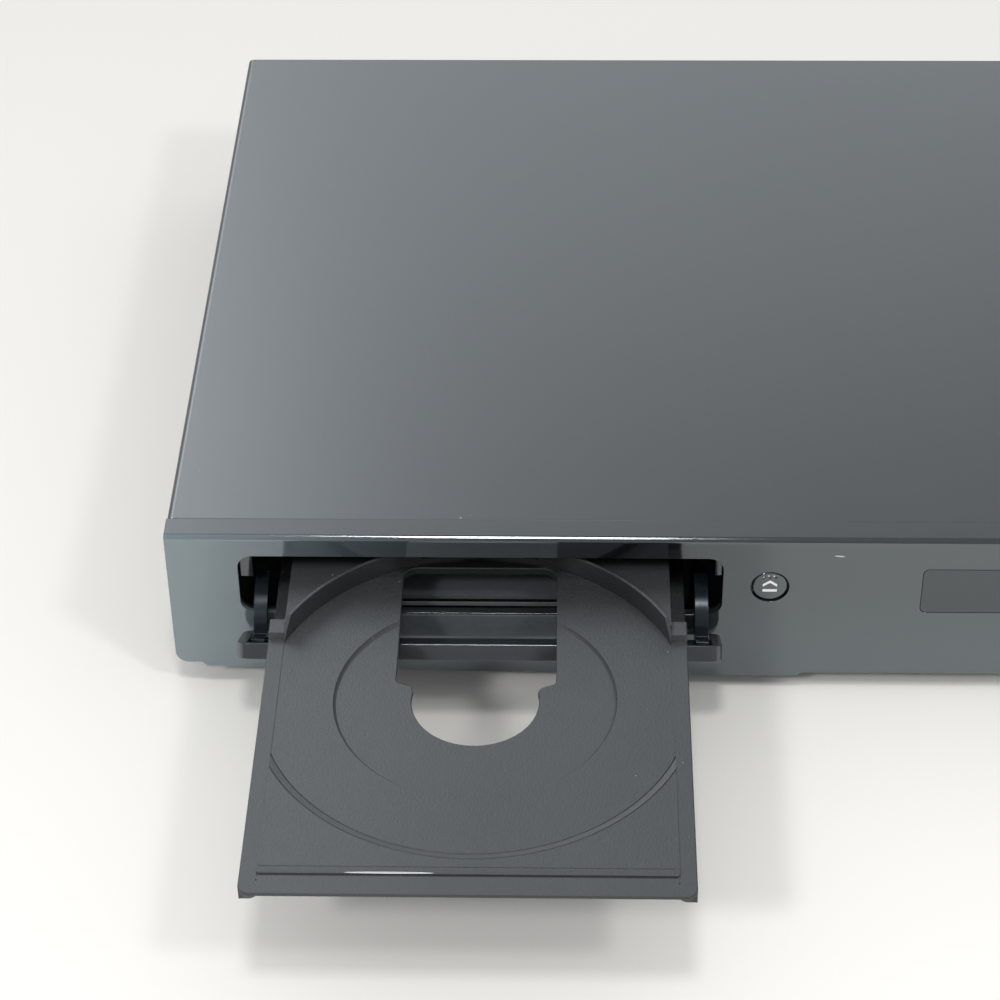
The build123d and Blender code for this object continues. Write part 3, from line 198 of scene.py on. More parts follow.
class Finish:
    """A material round one Principled shader. Constants are set on the shader's own sockets."""

    def __init__(self, name, **constants):
        self.material = bpy.data.materials.new(name)
        self.material.use_nodes = True
        self.tree = self.material.node_tree
        self.shader = self.tree.nodes["Principled BSDF"]
        for socket, value in constants.items():
            self.shader.inputs[socket.replace("_", " ")].default_value = value
        self.place = self.node("ShaderNodeTexCoord", {}, {}, "Object")

    def node(self, kind, settings, sockets, output=0):
        """Any node: its type, its settings, then the values or links of its sockets."""
        made = self.tree.nodes.new(kind)
        for name, value in settings.items():
            setattr(made, name, value)
        for name, value in sockets.items():
            if isinstance(value, Link):
                self.tree.links.new(value.socket, made.inputs[name])
            else:
                made.inputs[name].default_value = value
        return Link(self, made.outputs[output])

    def feed(self, **links):
        """Links what varies over the surface to the shader's sockets."""
        for name, link in links.items():
            self.tree.links.new(link.socket, self.shader.inputs[name.replace("_", " ")])
        return self

    def blend(self, factor, other):
        """Mixes a second shader in, by a factor that may vary over the surface."""
        output = self.tree.nodes["Material Output"]
        first = Link(self, self.shader.outputs[0])
        mixed = self.node("ShaderNodeMixShader", {}, {0: factor, 1: first, 2: other})
        self.tree.links.new(mixed.socket, output.inputs["Surface"])
        return self

    def noise(self, scale, detail=2.0, stretch=(1, 1, 1)):
        """Clouds between 0 and 1, so many to a metre, drawn out along an axis by its stretch."""
        place = self.node("ShaderNodeMapping", {}, {"Vector": self.place, "Scale": stretch})
        sockets = {"Vector": place, "Scale": scale, "Detail": detail}
        return self.node("ShaderNodeTexNoise", {}, sockets)

    def axis(self, letter):
        """One of the piece's own coordinates, in metres."""
        return self.node("ShaderNodeSeparateXYZ", {}, {"Vector": self.place}, letter)

    def between(self, value, low, high):
        """0 below low, 1 above high, smooth in between."""
        return self.node(
            "ShaderNodeMapRange",
            {"interpolation_type": "SMOOTHSTEP"},
            {"Value": value, "From Min": low, "From Max": high},
        )

    def tint(self, factor, dark, light):
        """A colour from dark to light, as factor goes from 0 to 1."""
        return self.node("ShaderNodeMix", {"data_type": "RGBA"}, {0: factor, 6: dark, 7: light}, 2)

    def specks(self, cell, share, radius):
        """Round specks: a share of the cells of that size each have a dot of that radius."""
        dots = {"Vector": self.place, "Scale": 1 / cell}
        distance = self.node("ShaderNodeTexVoronoi", {}, dots, "Distance")
        colour = self.node("ShaderNodeTexVoronoi", {}, dots, "Color")
        chance = self.node("ShaderNodeSeparateColor", {}, {"Color": colour}, "Red")
        return (distance < radius / cell) * (chance < share)

    def scratch(self, start, end, half_width):
        """1 in a thin ellipse between two places, where the distances to both add to little."""
        length = (Vector(end) - Vector(start)).length
        distance = {"operation": "DISTANCE"}
        from_start, from_end = [
            self.node("ShaderNodeVectorMath", distance, {0: self.place, 1: place}, "Value")
            for place in (start, end)
        ]
        return from_start + from_end < sqrt(length**2 + 4 * half_width**2)

    def relief(self, height, depth):
        """The normal of a height from 0 to 1, where 1 stands for so many metres."""
        sockets = {"Height": height, "Distance": depth, "Strength": 1.0}
        return self.node("ShaderNodeBump", {}, sockets, "Normal")


table = Finish("table", Base_Color=table_colour, Roughness=0.7, Specular_IOR_Level=0.0)
floor_mesh = bpy.data.meshes.new("floor")
floor_corners = [
    (-table_half, -table_half, 0),
    (table_half, -table_half, 0),
    (table_half, table_half, 0),
    (-table_half, table_half, 0),
]
floor_mesh.from_pydata(floor_corners, [], [(0, 1, 2, 3)])
floor_mesh.materials.append(table.material)
floor = bpy.data.objects.new("floor", floor_mesh)
bpy.context.scene.collection.objects.link(floor)

# The top cover is one sheet of steel, folded down at both sides and sprayed satin black.
# The paint has a fine dry texture, a little dust and a few worn spots near its front edge.
doubles_within = 0.002 * mm
flat_within = 0.6
cover_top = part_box("top_cover")[1].z
paint_dark = (0.026, 0.029, 0.033, 1)
paint_light = (0.036, 0.040, 0.045, 1)
paint_cloud_scale = 9
paint_grain_scale = 2600
paint_grain_depth = 0.018 * mm
worn_spots = ((-213.5, -71.6), (-212.3, -77.2), (-208.1, -77.2), (-127.1, -70.8), (-114.4, -78.2))
worn_run = Vector((0.5, 0.1, 0)) * mm
worn_half = 0.22 * mm


def grey(value, warm=0.0):
    """An RGBA colour near a neutral value, warmer or cooler by a share of it."""
    return (value * (1 + warm), value, value * (1 - warm), 1)


def eased(name, finish, ease, sharp=25):
    """A copy of a CAD node with its doubles merged, its flat facets joined and its sharp
    edges rounded by a bevel of that width, as moulding or folding leaves them."""
    node = nodes[name]
    work = bmesh.new()
    work.from_mesh(node.data)
    bmesh.ops.remove_doubles(work, verts=work.verts, dist=doubles_within)
    bmesh.ops.dissolve_limit(
        work,
        angle_limit=radians(flat_within),
        verts=work.verts,
        edges=work.edges,
        use_dissolve_boundaries=False,
    )
    mesh = bpy.data.meshes.new(name + "_eased")
    work.to_mesh(mesh)
    work.free()
    mesh.materials.append(finish.material)
    mesh.polygons.foreach_set("use_smooth", [True] * len(mesh.polygons))
    mesh.set_sharp_from_angle(angle=radians(sharp))
    piece = bpy.data.objects.new(name + "_eased", mesh)
    bpy.context.scene.collection.objects.link(piece)
    bevel = piece.modifiers.new("ease", "BEVEL")
    bevel.width = ease
    bevel.segments = 2
    bevel.limit_method = "ANGLE"
    bevel.angle_limit = radians(sharp)
    bevel.harden_normals = True
    bevel.use_clamp_overlap = True
    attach(piece, node["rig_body"])
    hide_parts(name)
    return piece


paint = Finish("satin_black_paint", Metallic=0.0)
paint_cloud = paint.noise(paint_cloud_scale, 3)
paint_dust = paint.specks(3.1 * mm, 0.05, 0.10 * mm)
for spot_x, spot_y in worn_spots:
    spot = Vector((spot_x * mm, spot_y * mm, cover_top))
    paint_dust = paint_dust + paint.scratch(spot, spot + worn_run, worn_half)
paint.feed(
    Base_Color=paint.tint(paint_dust, paint.tint(paint_cloud, paint_dark, paint_light), grey(0.30)),
    Roughness=0.30 + paint_cloud * 0.08,
    Normal=paint.relief(paint.noise(paint_grain_scale, 3), paint_grain_depth),
)
eased("top_cover", paint, 0.25 * mm)

# The fascia is a moulded shell with a mirror-polished front, and a satin top that continues
# the cover. The polish has a few dust specks and one small scratch. Its colour is lighter
# and greyer towards the left end and the foot, a painted sheen standing in for reflections.
face_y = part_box("fascia")[0].y
top_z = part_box("fascia")[1].z
face_bend = 1.2 * mm
face_blend = 0.4 * mm
top_blend = 0.6 * mm
scratch_start = (-0.0157, face_y, 0.0541)
scratch_end = (-0.0127, face_y, 0.0538)
sheen_starts = 115 * mm
sheen_full = 240 * mm
foot_sheen_full = 5 * mm
foot_sheen_ends = 52 * mm
cool_gloss = (0.86, 0.95, 1.0, 1)
polish_clear = (0.005, 0.006, 0.007, 1)
polish_foot_sheen = (0.032, 0.037, 0.041, 1)
polish_sheen_colour = (0.142, 0.18, 0.20, 1)

polish = Finish("polished_front", IOR=2.3, Specular_Tint=cool_gloss)
face_end = face_y + face_bend
behind_face = polish.between(polish.axis("Y"), face_end, face_end + face_blend)
top_start = top_z - face_bend
on_top = polish.between(polish.axis("Z"), top_start, top_start + top_blend)
polish_dust = polish.specks(6 * mm, 0.05, 0.11 * mm)
polish_dust = polish_dust + polish.scratch(scratch_start, scratch_end, 0.25 * mm)
# Painted sheen: lighter and greyer towards the front's left end, and lighter towards the foot.
polish_painted_sheen = polish.between(0 - polish.axis("X"), sheen_starts, sheen_full) * (1 - behind_face)
polish_painted_foot_sheen = 1 - polish.between(polish.axis("Z"), foot_sheen_full, foot_sheen_ends)
polish_black_with_sheen = polish.tint(polish_painted_foot_sheen, polish_clear, polish_foot_sheen)
polish.feed(
    Base_Color=polish.tint(
        polish_dust,
        polish.tint(polish_painted_sheen, polish_black_with_sheen, polish_sheen_colour),
        grey(0.45),
    ),
    Roughness=0.06 + polish.noise(14, 3) * 0.05,
)
satin_sockets = {
    "Base Color": polish.tint(polish.noise(paint_cloud_scale, 3), paint_dark, paint_light),
    "Roughness": 0.34,
    "Normal": polish.relief(polish.noise(paint_grain_scale, 3), paint_grain_depth),
}
polish.blend(behind_face * on_top, polish.node("ShaderNodeBsdfPrincipled", {}, satin_sockets))
eased("fascia", polish, 0.3 * mm)

# The display window is a strip of smoked clear plastic that fills a hole in the fascia. It
# is almost black while the display behind it is off.
smoked = (0.006, 0.007, 0.009, 1)
window_black = Finish("smoked_window", Base_Color=smoked, IOR=2.0, Specular_Tint=cool_gloss)
window_black.feed(Roughness=0.03 + window_black.noise(20, 3) * 0.03)
eased("display_window", window_black, 0.2 * mm)

# The keys are small moulded caps, polished like the fascia, that stand in its holes. The eject
# key is printed in white with a hood over a bar. Three white discs above are painted highlights.
eject_low, eject_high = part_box("eject_button")
mark_centre = np.array([eject_low.x + eject_high.x, eject_low.z + eject_high.z]) / 2
cap_y = face_y + 0.3 * mm
print_rise = 0.04 * mm
mark_half = 2.15 * mm
stroke = 0.95 * mm
hood_low = -0.1 * mm
hood_rise = 1.5 * mm
bar_top = -1.1 * mm
# The painted highlights: three small white discs above the print.
glint_radius = 0.22 * mm
glint_rise = 0.12 * mm
glint_sides = 12
glint_places = np.array([(-2.0, 3.6), (-0.5, 4.1), (1.1, 4.05)]) * mm


def piece_from(name, parts, finish, body, sharp=25):
    """One mesh from several closed parts, each a pair of points and faces."""
    points = np.vstack([part[0] for part in parts])
    starts = np.cumsum([0] + [len(part[0]) for part in parts])
    faces = [
        [start + corner for corner in face]
        for (_, sides), start in zip(parts, starts)
        for face in sides
    ]
    mesh = bpy.data.meshes.new(name)
    mesh.from_pydata(points.tolist(), [], faces)
    work = bmesh.new()
    work.from_mesh(mesh)
    bmesh.ops.remove_doubles(work, verts=work.verts, dist=0.001 * mm)
    bmesh.ops.dissolve_degenerate(work, edges=work.edges, dist=0.0005 * mm)
    bmesh.ops.recalc_face_normals(work, faces=work.faces)
    work.to_mesh(mesh)
    work.free()
    mesh.materials.append(finish.material)
    mesh.polygons.foreach_set("use_smooth", [True] * len(mesh.polygons))
    mesh.set_sharp_from_angle(angle=radians(sharp))
    piece = bpy.data.objects.new(name, mesh)
    bpy.context.scene.collection.objects.link(piece)
    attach(piece, body)
    return piece


def quads(grid, closed_rows=False, closed_columns=False, caps=False):
    """Points and faces of a grid (rows, columns, 3): each cell is a quad, the last row or
    column joins the first where it is closed, and caps fill the first and last row."""
    rows, columns = grid.shape[:2]
    number = np.arange(rows * columns).reshape(rows, columns)
    sides = number
    if closed_rows:
        sides = np.vstack([sides, sides[:1]])
    if closed_columns:
        sides = np.hstack([sides, sides[:, :1]])
    cells = np.stack([sides[:-1, :-1], sides[:-1, 1:], sides[1:, 1:], sides[1:, :-1]], -1)
    faces = cells.reshape(-1, 4).tolist()
    if caps:
        faces += [number[0].tolist(), number[-1][::-1].tolist()]
    return grid.reshape(-1, 3), faces


def plate(outline, near, far, flat=(0, 2)):
    """A thin plate: a closed outline in two axes, carried from near to far along the third."""
    outline = np.asarray(outline, float)
    grid = np.zeros((2, len(outline), 3))
    grid[:, :, flat[0]] = outline[:, 0]
    grid[:, :, flat[1]] = outline[:, 1]
    grid[:, :, 3 - sum(flat)] = np.array([near, far])[:, None]
    return quads(grid, closed_columns=True, caps=True)


def oblong(left, right, low, high):
    """The corners of a rectangle, anticlockwise from the first."""
    return [(left, low), (right, low), (right, high), (left, high)]


for name in ("eject_button", "stop_button", "play_button", "power_button"):
    eased(name, polish, 0.12 * mm)

mark_and_glint_white = Finish("mark_and_glint_white", Roughness=0.45)
mark_and_glint_white.feed(Base_Color=mark_and_glint_white.tint(mark_and_glint_white.noise(1500, 2), grey(0.70), grey(0.82)))
hood = [
    (-mark_half, hood_low),
    (0, hood_low + hood_rise),
    (mark_half, hood_low),
    (mark_half, hood_low + stroke),
    (0, hood_low + hood_rise + stroke),
    (-mark_half, hood_low + stroke),
]
bar = oblong(-mark_half, mark_half, bar_top - stroke, bar_top)
mark_and_glint_parts = [
    plate(np.array(outline) + mark_centre, cap_y, cap_y - print_rise) for outline in (hood, bar)
]
# The three painted highlights go on the cap as thin white discs.
glint_turn = np.linspace(0, 2 * pi, glint_sides, endpoint=False)
glint_rim = glint_radius * np.column_stack([np.cos(glint_turn), np.sin(glint_turn)])
for glint_place in glint_places:
    mark_and_glint_parts.append(plate(glint_rim + mark_centre + glint_place, cap_y, cap_y - glint_rise))
piece_from("eject_mark_and_glints", mark_and_glint_parts, mark_and_glint_white, "eject_key")

# The tray is one moulding of finely spark-textured dark grey plastic: a floor with round
# recesses for both disc sizes, a window for the pickup, side rails, a front lip, and a wall
# with a raised deck at the back. It slides on the rails, and the ribs under it stiffen it.
tray_low, tray_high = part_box("tray")
tray_x = (tray_low.x + tray_high.x) / 2
tray_half = (tray_high.x - tray_low.x) / 2
back_y = tray_high.y
disc_setback = 73.5 * mm
nose_reach = 2.5 * mm
disc_y = tray_low.y + disc_setback
front_y = tray_low.y - nose_reach
rail_z = 45.0 * mm
floor_z = rail_z - 0.2 * mm
under_z = floor_z - 2.4 * mm
rail_width = 4.6 * mm
rail_drop = 5.4 * mm
inner_half = tray_half - rail_width
hub_radius = 18.2 * mm
small_radius = 40.5 * mm
small_slope = 0.8 * mm
small_drop = 0.9 * mm
small_line = 0.10 * mm
large_radius = 61.0 * mm
large_slope = 2.2 * mm
large_line = 0.22 * mm
line_half = 0.22 * mm
hole_ease = 0.25 * mm
edge_ease = 0.3 * mm
# The strip in front of the recess, as distances behind the edge and heights over the rails
front_steps = np.array([6.45, 6.6, 7.2, 7.35, 7.85, 9.5, 9.65, 9.75, 9.9]) * mm
front_rises = np.array([0, -0.45, -0.45, 0.10, 0.28, 0.28, 0.12, 0.12, 0.28]) * mm
nose_height = 1.0 * mm
nose_rake = 4.0 * mm
nose_corner = 3.0 * mm
rim_round = 0.35 * mm
rim_inner_round = 0.15 * mm
round_share = 0.3
window_half = 23.0 * mm
window_back = 57.0 * mm
window_corner = 4.5 * mm
notch_y = 6.2 * mm
notch_corner = 2.5 * mm
wall_height = 6.6 * mm
wall_sheet = 1.1 * mm
wall_rake = 4.7 * mm
wall_end = 0.01
wall_foot = 0.05
wall_round = 0.25 * mm
wall_sink = 0.05 * mm
raised_rise = 2.1 * mm
raised_from = 24.6 * mm
level_from = -20 * mm
puck_way_half = 18.0 * mm
rail_end = 31.0 * mm
low_rail_drop = 5.6 * mm
deck_end = 58.0 * mm
deck_rise = 3.2 * mm
deck_gap = 0.5 * mm
deck_sink = 0.1 * mm
rib_half = 2 * mm
rib_inset = 12 * mm
rib_low = rail_z - 9.5 * mm
rack_pitch = pi * mm
rack_top = rail_z - 6.2 * mm
rack_low = rail_z - 9.8 * mm
tooth_phases = np.array([0.10, 0.34, 0.58, 0.82])
tooth_reaches = np.array([0.0, 1.9, 1.9, 0.0]) * mm


def arc(centre, radius, start, end, steps=8):
    """Points of a round corner, from a start to an end angle in degrees."""
    angles = np.radians(np.linspace(start, end, steps + 1))
    return np.array(centre) + radius * np.column_stack([np.cos(angles), np.sin(angles)])


def hole_outline():
    """Right half of the hole from below to above, about the disc's centre: the hub's circle,
    an inward round, the window's near corner, its side and its far corner."""
    hub_end = degrees(np.arcsin((notch_y - notch_corner) / hub_radius))
    notch_x = 0.99 * hub_radius + notch_corner
    return np.vstack(
        [
            arc((0, 0), hub_radius, -90, hub_end, 60),
            arc((notch_x, notch_y - notch_corner), notch_corner, 180, 90),
            arc((window_half - notch_corner, notch_y + notch_corner), notch_corner, -90, 0),
            arc((window_half - window_corner, window_back - window_corner), window_corner, 0, 90),
            [(0, window_back)],
        ]
    )


def hole_radius(angles):
    """How far the hole reaches from the disc's centre in each direction."""
    corners = hole_outline()
    run = np.concatenate([[0], np.cumsum(np.hypot(*np.diff(corners, axis=0).T))])
    steps = np.linspace(0, run[-1], 900)
    outline = np.column_stack([np.interp(steps, run, corners[:, axis]) for axis in (0, 1)])
    turned = np.arctan2(outline[:, 1], outline[:, 0])
    order = np.argsort(turned)
    folded = np.arctan2(np.sin(angles), np.abs(np.cos(angles)))
    return np.interp(folded, turned[order], np.hypot(outline[:, 0], outline[:, 1])[order])


def tray_floor():
    """The floor as rings about the disc's centre. Each direction has the same profile: the
    hole's edge, the slope between the recesses, the slope and step up to the rim with a fine
    line along each, the strip in front, and the outer edge.
    Radii past the hole or the outer edge are held there, so the rings end on both outlines."""
    angles = np.radians(np.arange(0, 360, 0.5))
    east, north = np.cos(angles), np.sin(angles)
    inner = hole_radius(angles)

    def reach(toward, distance):
        """Radius at which each direction meets a line so far from the disc's centre."""
        return np.where(toward > 0, distance / np.maximum(toward, 1e-9), 9.0)

    front = disc_y - front_y
    side_reach = reach(np.abs(east), inner_half)
    end_reach = np.minimum(reach(-north, front - rail_width), reach(north, back_y - disc_y))
    outer = np.minimum(side_reach, end_reach)
    middle = small_radius - small_slope / 2
    line = np.array([-line_half, 0, line_half])
    slope = [small_radius - small_slope, *(middle + line), small_radius]
    step = [*(large_radius + line), *(large_radius + large_slope + line)]
    radii = np.stack(
        [
            inner,
            inner + hole_ease,
            *[np.full_like(angles, radius) for radius in slope + step],
            *[reach(-north, front - distance) for distance in front_steps[::-1]],
            outer - edge_ease,
            outer,
        ],
        axis=1,
    )
    radii = np.maximum.accumulate(np.clip(radii, inner[:, None], outer[:, None]), axis=1)
    x = radii * east[:, None]
    y = radii * north[:, None]
    small = np.clip((radii - small_radius + small_slope) / small_slope, 0, 1)
    z = floor_z - small_drop * (1 - small)
    large = np.clip((radii - large_radius) / large_slope, 0, 1)
    large = large * large * (3 - 2 * large)
    strip = rail_z + np.interp(y + front, front_steps, front_rises)
    z = z + (strip - floor_z) * large * (north[:, None] < 0)
    lines = (
        (middle, small_line),
        (large_radius, large_line),
        (large_radius + large_slope, large_line),
    )
    for edge, depth in lines:
        z = z - depth * np.clip(1 - np.abs(radii - edge) / line_half, 0, 1)
    z[:, 0] -= hole_ease
    top = np.stack([tray_x + x, disc_y + y, z], -1)
    under = np.stack([top[:, -1], top[:, 0]], 1)
    under[:, :, 2] = under_z
    return quads(np.concatenate([top, under], 1), closed_rows=True, closed_columns=True)


def tray_rim():
    """The rails and the front lip as one ruled band: each station joins a point of the outer
    outline, rounded at the corners, to one of the inner outline, and the cross-section runs
    over the top and down both sides. Behind the recess the rails rise by a step."""
    ease = np.array([edge_ease, -edge_ease])
    places = [back_y - disc_y, *(rail_end + ease), *(raised_from + ease), level_from]
    side = disc_y + np.array(places)
    rise = np.array([-low_rail_drop, -low_rail_drop, raised_rise, raised_rise, 0, 0])
    bend = arc((tray_half - nose_corner, front_y + nose_corner), nose_corner, 0, -90, 10)
    outer = np.vstack([np.column_stack([np.full(len(side), tray_half), side]), bend])
    inner_bend = np.tile([inner_half, front_y + rail_width], (len(bend), 1))
    inner = np.vstack([np.column_stack([np.full(len(side), inner_half), side]), inner_bend])
    rake = np.concatenate([np.zeros(len(side)), np.linspace(0, 1, len(bend)) ** 0.5]) * nose_rake
    lift = np.concatenate([rise, np.zeros(len(bend))])
    outer = np.vstack([outer, outer[::-1] * (-1, 1)])
    inner = np.vstack([inner, inner[::-1] * (-1, 1)])
    rake = np.concatenate([rake, rake[::-1]])
    lift = np.concatenate([lift, lift[::-1]])
    bevel = round_share * rim_round
    top_edge = rail_width - rim_inner_round
    inset = np.array([rail_width, rail_width, top_edge, rim_round, bevel, 0, 0, 0])
    drop = np.array([rail_drop, 0, 0, 0, bevel, rim_round, nose_height, rail_drop])
    low = np.array([1, 0, 0, 0, 0, 0, 0, 1])
    raked = np.array([0, 0, 0, 0, 0, 0, 0, 1])
    share = 1 - (inset[None, :] + rake[:, None] * raked[None, :]) / rail_width
    across = (outer - inner)[:, None, :] * share[:, :, None]
    grid = np.zeros((len(outer), len(drop), 3))
    grid[:, :, :2] = inner[:, None, :] + across + (tray_x, 0)
    level = np.minimum(lift, 0)[:, None] * low + lift[:, None] * (1 - low)
    grid[:, :, 2] = rail_z - drop[None, :] + level
    return quads(grid, closed_columns=True, caps=True)


def tray_wall(side):
    """Half of the tall wall behind the recess: a rounded cross-section carried round the
    recess's circle, lowered in the middle, where the clamp's puck passes."""
    start = acos(inner_half / large_radius)
    rake_end = start + wall_rake / large_radius
    way = acos(puck_way_half / large_radius)
    low_from = way + wall_end
    rake = np.linspace(start, rake_end, 8)
    bow = np.linspace(rake_end, way, 50)
    angles = np.concatenate([rake, bow[1:], [low_from, pi / 2]])
    notch = np.clip((low_from - angles) / wall_end, 0, 1)
    raked = np.clip((angles - start) / (rake_end - start), wall_foot, 1)
    tall = (raised_rise + rail_z - floor_z + (wall_height - raised_rise) * notch) * raked
    bevel = round_share * wall_round
    back_edge = wall_sheet - wall_round
    deep = np.array([0, 0, bevel, wall_round, back_edge, wall_sheet, wall_sheet])
    down = np.array([1, 0, 0, 0, 0, 0, 1])
    ease = np.array([0, wall_round, bevel, 0, 0, wall_round, 0])
    radius = large_radius + deep
    x = np.clip(np.cos(angles)[:, None] * radius[None, :], 0, inner_half)
    grid = np.zeros((len(angles), len(deep), 3))
    grid[:, :, 0] = tray_x + side * x
    grid[:, :, 1] = disc_y + np.sin(angles)[:, None] * radius[None, :]
    grid[:, :, 2] = floor_z - wall_sink + tall[:, None] * (1 - down)[None, :] - ease[None, :]
    return quads(grid, closed_columns=True, caps=True)


def tray_deck(side):
    """The raised deck between the wall and the side, a plate bounded by the wall's circle."""
    first = acos(inner_half / large_radius) + wall_rake / large_radius
    middle = large_radius + wall_sheet / 2
    last = np.arcsin((deck_end - deck_gap) / middle)
    turns = np.linspace(first, last, 24)
    bow = middle * np.column_stack([np.cos(turns), np.sin(turns)])
    ends = [(bow[-1, 0], deck_end), (inner_half, deck_end), (inner_half, bow[0, 1])]
    outline = np.vstack([bow, ends]) * (side, 1) + (tray_x, disc_y)
    return plate(outline, floor_z - deck_sink, rail_z + deck_rise, (0, 1))


def rack_part():
    """Two ribs under the tray, one with the rack's teeth as a trapezoid wave along Y."""
    rib_front = front_y + 2 * rail_width
    parts = []
    for side in (-1, 1):
        rib_x = tray_x + side * (tray_half - rib_inset)
        rib = oblong(rib_x - rib_half, rib_x + rib_half, rib_front, back_y)
        parts.append(plate(rib, rib_low, under_z, (0, 1)))
    teeth = int((back_y - rib_front) / rack_pitch)
    tooth_y = rib_front + (np.arange(teeth)[:, None] + tooth_phases).ravel() * rack_pitch
    tooth_x = rib_x - rib_half - np.tile(tooth_reaches, teeth)
    backing = [(rib_x, tooth_y[-1]), (rib_x, tooth_y[0])]
    outline = np.vstack([np.column_stack([tooth_x, tooth_y]), backing])
    parts.append(plate(outline, rack_top, rack_low, (0, 1)))
    return parts


# Painted shade: the colour is darkened behind the disc's middle and on the deck, which lie in
# the shade inside the opening, and towards the right, which gets less light; in that order here.
painted_shades = (
    # axis, where it starts, where it is full, share of the colour that it takes
    ("Y", disc_y + 25 * mm, disc_y + 48 * mm, 0.55),
    ("Y", disc_y + 54.5 * mm, disc_y + 56.5 * mm, 0.7),
    ("X", tray_x - 55 * mm, tray_x + 10 * mm, 0.2),
)
spark_dark = (0.025, 0.029, 0.032, 1)
spark_light = (0.052, 0.057, 0.061, 1)
nick_start = (-0.0926, -0.1577, rail_z)
nick_end = (-0.0903, -0.1589, rail_z)
# The lip's ridge is rubbed smoother between these places, and a painted highlight runs along it.
rub_and_glint_start = (-0.154, front_y + 7.6 * mm, rail_z + 0.2 * mm)
rub_and_glint_end = (-0.130, front_y + 7.6 * mm, rail_z + 0.2 * mm)

spark = Finish("spark_textured_plastic", Specular_IOR_Level=0.5)
spark_grain = spark.between(spark.noise(2200, 3), 0.3, 0.7)
# Painted shade: each row darkens the colour by its share over its span.
spark_painted_shade = 1
for letter, start, end, share in painted_shades:
    spark_painted_shade = spark_painted_shade * (1 - share * spark.between(spark.axis(letter), start, end))
spark_dust = spark.specks(3.3 * mm, 0.10, 0.11 * mm)
spark_dust = spark_dust + spark.scratch(nick_start, nick_end, 0.2 * mm)
spark_rubbed = spark.scratch(rub_and_glint_start, rub_and_glint_end, 0.7 * mm)
# Painted highlight: a thin line along the rubbed ridge is tinted light grey where it glints.
spark_painted_glint = spark.scratch(rub_and_glint_start, rub_and_glint_end, 0.30 * mm)
spark_grey = spark.tint(spark_grain * 0.6 + spark.noise(22, 3) * 0.4, spark_dark, spark_light)
spark.feed(
    Base_Color=spark.tint(
        spark_dust + spark_painted_glint * 0.75, spark_grey.shaded(spark_painted_shade), grey(0.60)
    ),
    Roughness=(0.46 + spark_grain * 0.16) * (1 - spark_rubbed * 0.62),
    Normal=spark.relief(spark_grain, 0.05 * mm),
)
tray_parts = [tray_floor(), tray_rim(), *rack_part()]
for side in (-1, 1):
    tray_parts += [tray_wall(side), tray_deck(side)]
tray = piece_from("tray_moulding", tray_parts, spark, "tray", sharp=20)
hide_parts("tray")

# The tray door has a polished skin like the fascia, clipped to a plain black frame whose
# two hooked arms turn on pins behind the opening.
cold_gloss = (0.80, 0.90, 1.0, 1)


def mottled(name, clouds, dark, light, hazes, rough, spread, **constants):
    """A finish between a dark and a light colour by one noise, and from one roughness up by
    a spread by another. Each noise is given as its scale, detail and, if any, stretch."""
    finish = Finish(name, **constants)
    return finish.feed(
        Base_Color=finish.tint(finish.noise(*clouds), dark, light),
        Roughness=rough + finish.noise(*hazes) * spread,
    )


skin_black = mottled(
    "door_skin_black",
    (1800, 3), grey(0.018), grey(0.028),
    (30, 2), 0.14, 0.10,
    IOR=1.9, Specular_Tint=cold_gloss,
)
eased("door_skin", skin_black, 0.35 * mm)

arm_black = mottled(
    "arm_black",
    (1200, 3), grey(0.009, -0.28), grey(0.017, -0.28),
    (500, 2), 0.16, 0.10,
    IOR=1.45, Specular_Tint=cold_gloss,
)
for name in ("door_frame", "door_bracket_left", "door_bracket_right"):
    eased(name, arm_black, 0.2 * mm)

# The base pan is folded from zinc-coated sheet steel. The rear panel, and the plate behind
# its window that holds the flush sockets, are painted like the cover. The video and network
# sockets have plated shells; the optical one, the mains inlet and the fan are moulded.
zinc = Finish("zinc_coated_sheet", Metallic=1.0)
zinc_flake = zinc.noise(160, 2)
zinc.feed(
    Base_Color=zinc.tint(zinc_flake, (0.42, 0.44, 0.45, 1), (0.62, 0.64, 0.66, 1)),
    Roughness=0.34 + zinc_flake * 0.22,
)
eased("base_pan", zinc, 0.15 * mm)
eased("rear_panel", paint, 0.12 * mm)
eased("socket_plate", paint, 0.1 * mm)

plating = mottled(
    "nickel_plating",
    (400, 2), (0.52, 0.51, 0.48, 1), (0.66, 0.65, 0.62, 1),
    (900, 2), 0.22, 0.14,
    Metallic=1.0,
)
eased("hdmi_socket", plating, 0.15 * mm)
eased("lan_socket", plating, 0.15 * mm)

moulded = Finish("moulded_black_plastic", IOR=1.5)
moulded_grain = moulded.noise(1500, 3)
moulded.feed(
    Base_Color=moulded.tint(moulded_grain, grey(0.016), grey(0.028)),
    Roughness=0.42 + moulded_grain * 0.14,
    Normal=moulded.relief(moulded_grain, 0.02 * mm),
)
for name in ("optical_socket", "mains_inlet", "fan_housing", "fan_rotor"):
    eased(name, moulded, 0.15 * mm)

